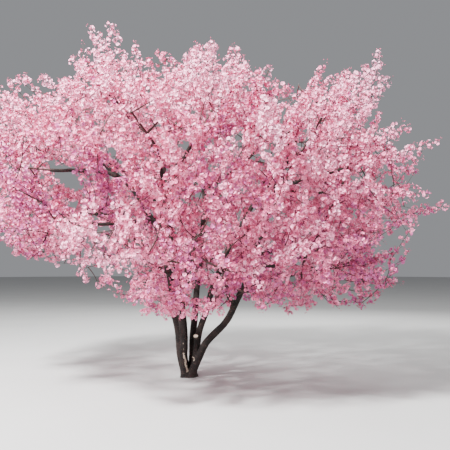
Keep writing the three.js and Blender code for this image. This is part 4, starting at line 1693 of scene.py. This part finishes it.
# %% [markdown]
# ## Scars and sawn wood
# Three old wounds show pale wood: a long strip on the left stem with slivers above it, an arch where a shoot
# was cut at the stool, and the sawn face of the stub. Each is a mask made from the distance to its middle,
# with a ragged edge. All but the stub's lie on the front alone.

# %% Scars, sawn wood and relief
STRIP = {"from": (-0.034, 0.345), "to": (0.018, 0.09), "half": 0.012, "edge": 0.003}  # x and z
SLIVERS = {"from": (-0.036, 0.4), "to": (-0.006, 0.72), "half": 0.03, "full": 0.6, "share": 0.8}
SLIVER_CLOUD = {"scale": (60, 60, 16), "from": 0.66, "to": 0.7}
ARCH = {"x": 0.088, "z": 0.252, "radius": 0.024, "half": 0.006, "edge": 0.002, "ragged": 0.4}
ARCH_FOOT = {"tilt": 0.8, "none": 0.012, "full": 0.004}  # below it the arch is open
RAGGED = {"scale": 70, "size": 0.02}
WAVY = {"scale": 22, "size": 0.045}
FRONT_FADE = 0.02
SAWN_EDGE = (0.98, 1.12)
PALE_WOOD = from_screen(206, 188, 168)
PALE_WOOD_GRAIN = [0.75 * part for part in PALE_WOOD]
BARK_BUMPS = {"grain": 0.6, "streaks": 0.5, "patches": 0.4, "deep": 0.004, "strength": 0.8}


def far_from_line(finish, x, z, start, end):
    """Distance, seen from the front, from a line between two places."""
    run = (end[0] - start[0], end[1] - start[1])
    length = math.hypot(*run)
    ahead = ((x - start[0]) * run[0] + (z - start[1]) * run[1]) / length
    aside = ((x - start[0]) * run[1] - (z - start[1]) * run[0]) / length
    over = ahead - finish.node("ShaderNodeClamp", {}, ahead, 0, length)
    return (aside * aside + over * over).root()


x, y, z = (bark.axis(bark_place, name) for name in "XYZ")
ragged = (bark.cloud(bark_place, RAGGED["scale"], detail=3) - 0.5) * RAGGED["size"]
wavy = (bark.cloud(bark_place, WAVY["scale"], detail=2) - 0.5) * WAVY["size"]
front = (y * -1).step(-FRONT_FADE, 0)

strip_way = far_from_line(bark, x + wavy, z, STRIP["from"], STRIP["to"]) + ragged
strip = 1 - strip_way.step(STRIP["half"] - STRIP["edge"], STRIP["half"])

sliver_way = far_from_line(bark, x, z, SLIVERS["from"], SLIVERS["to"])
slivers = bark.cloud(bark_place.scaled(*SLIVER_CLOUD["scale"]), scale=1, detail=2)
slivers = slivers.step(SLIVER_CLOUD["from"], SLIVER_CLOUD["to"])
slivers = slivers * (1 - sliver_way.step(SLIVERS["half"] * SLIVERS["full"], SLIVERS["half"]))

beside, above = x - ARCH["x"], z - ARCH["z"]
arch_line = ((beside * beside + above * above).root() - ARCH["radius"]).unsigned()
arch = 1 - (arch_line + ragged * ARCH["ragged"]).step(ARCH["half"] - ARCH["edge"], ARCH["half"])
arch = arch * (above + beside * ARCH_FOOT["tilt"]).step(-ARCH_FOOT["none"], -ARCH_FOOT["full"])

distance = {"operation": "DISTANCE"}
stub_end = bark.node("ShaderNodeVectorMath", distance, bark_place, STUB["end"], output="Value")
sawn = 1 - stub_end.step(STUB["radius"][1] * SAWN_EDGE[0], STUB["radius"][1] * SAWN_EDGE[1])

wounds = (strip * front).or_more(arch * front).or_more(slivers * front * SLIVERS["share"]).or_more(sawn)
bark.colour(bark.mixed(wounds, skin, bark.mixed(grain, PALE_WOOD_GRAIN, PALE_WOOD)))
bumps = grain * BARK_BUMPS["grain"] + streaks * BARK_BUMPS["streaks"] + patches * BARK_BUMPS["patches"]
bark.bumps(bumps, BARK_BUMPS["deep"], BARK_BUMPS["strength"])
bark_piece.data.materials.clear()
bark_piece.data.materials.append(bark.material)
print("bark finish:", len(bark.nodes), "nodes")

# %% [markdown]
# ## Hand over
# The dressed wood takes the place of the plain trunk, stems and boughs, and each mass's twigs and flowers
# take the place of its plain solid. All of it belongs to the one body of the tree.

# %% Replace the plain pieces
bark_nodes = ["trunk", *(limb.name for limb in stems + boughs)]
blossom_nodes = [f"blossom_{mass + 1:02d}" for mass in range(MASSES)]
twig_pieces = [mass_stem_piece, twig_piece, spur_piece]
flower_pieces = [*petal_pieces, eye_piece, *stalk_pieces, bud_piece]
for piece in (bark_piece, *twig_pieces, *flower_pieces):
    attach(piece, "root")
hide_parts(*bark_nodes)
for piece in (*twig_pieces, *flower_pieces):
    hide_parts(*blossom_nodes)
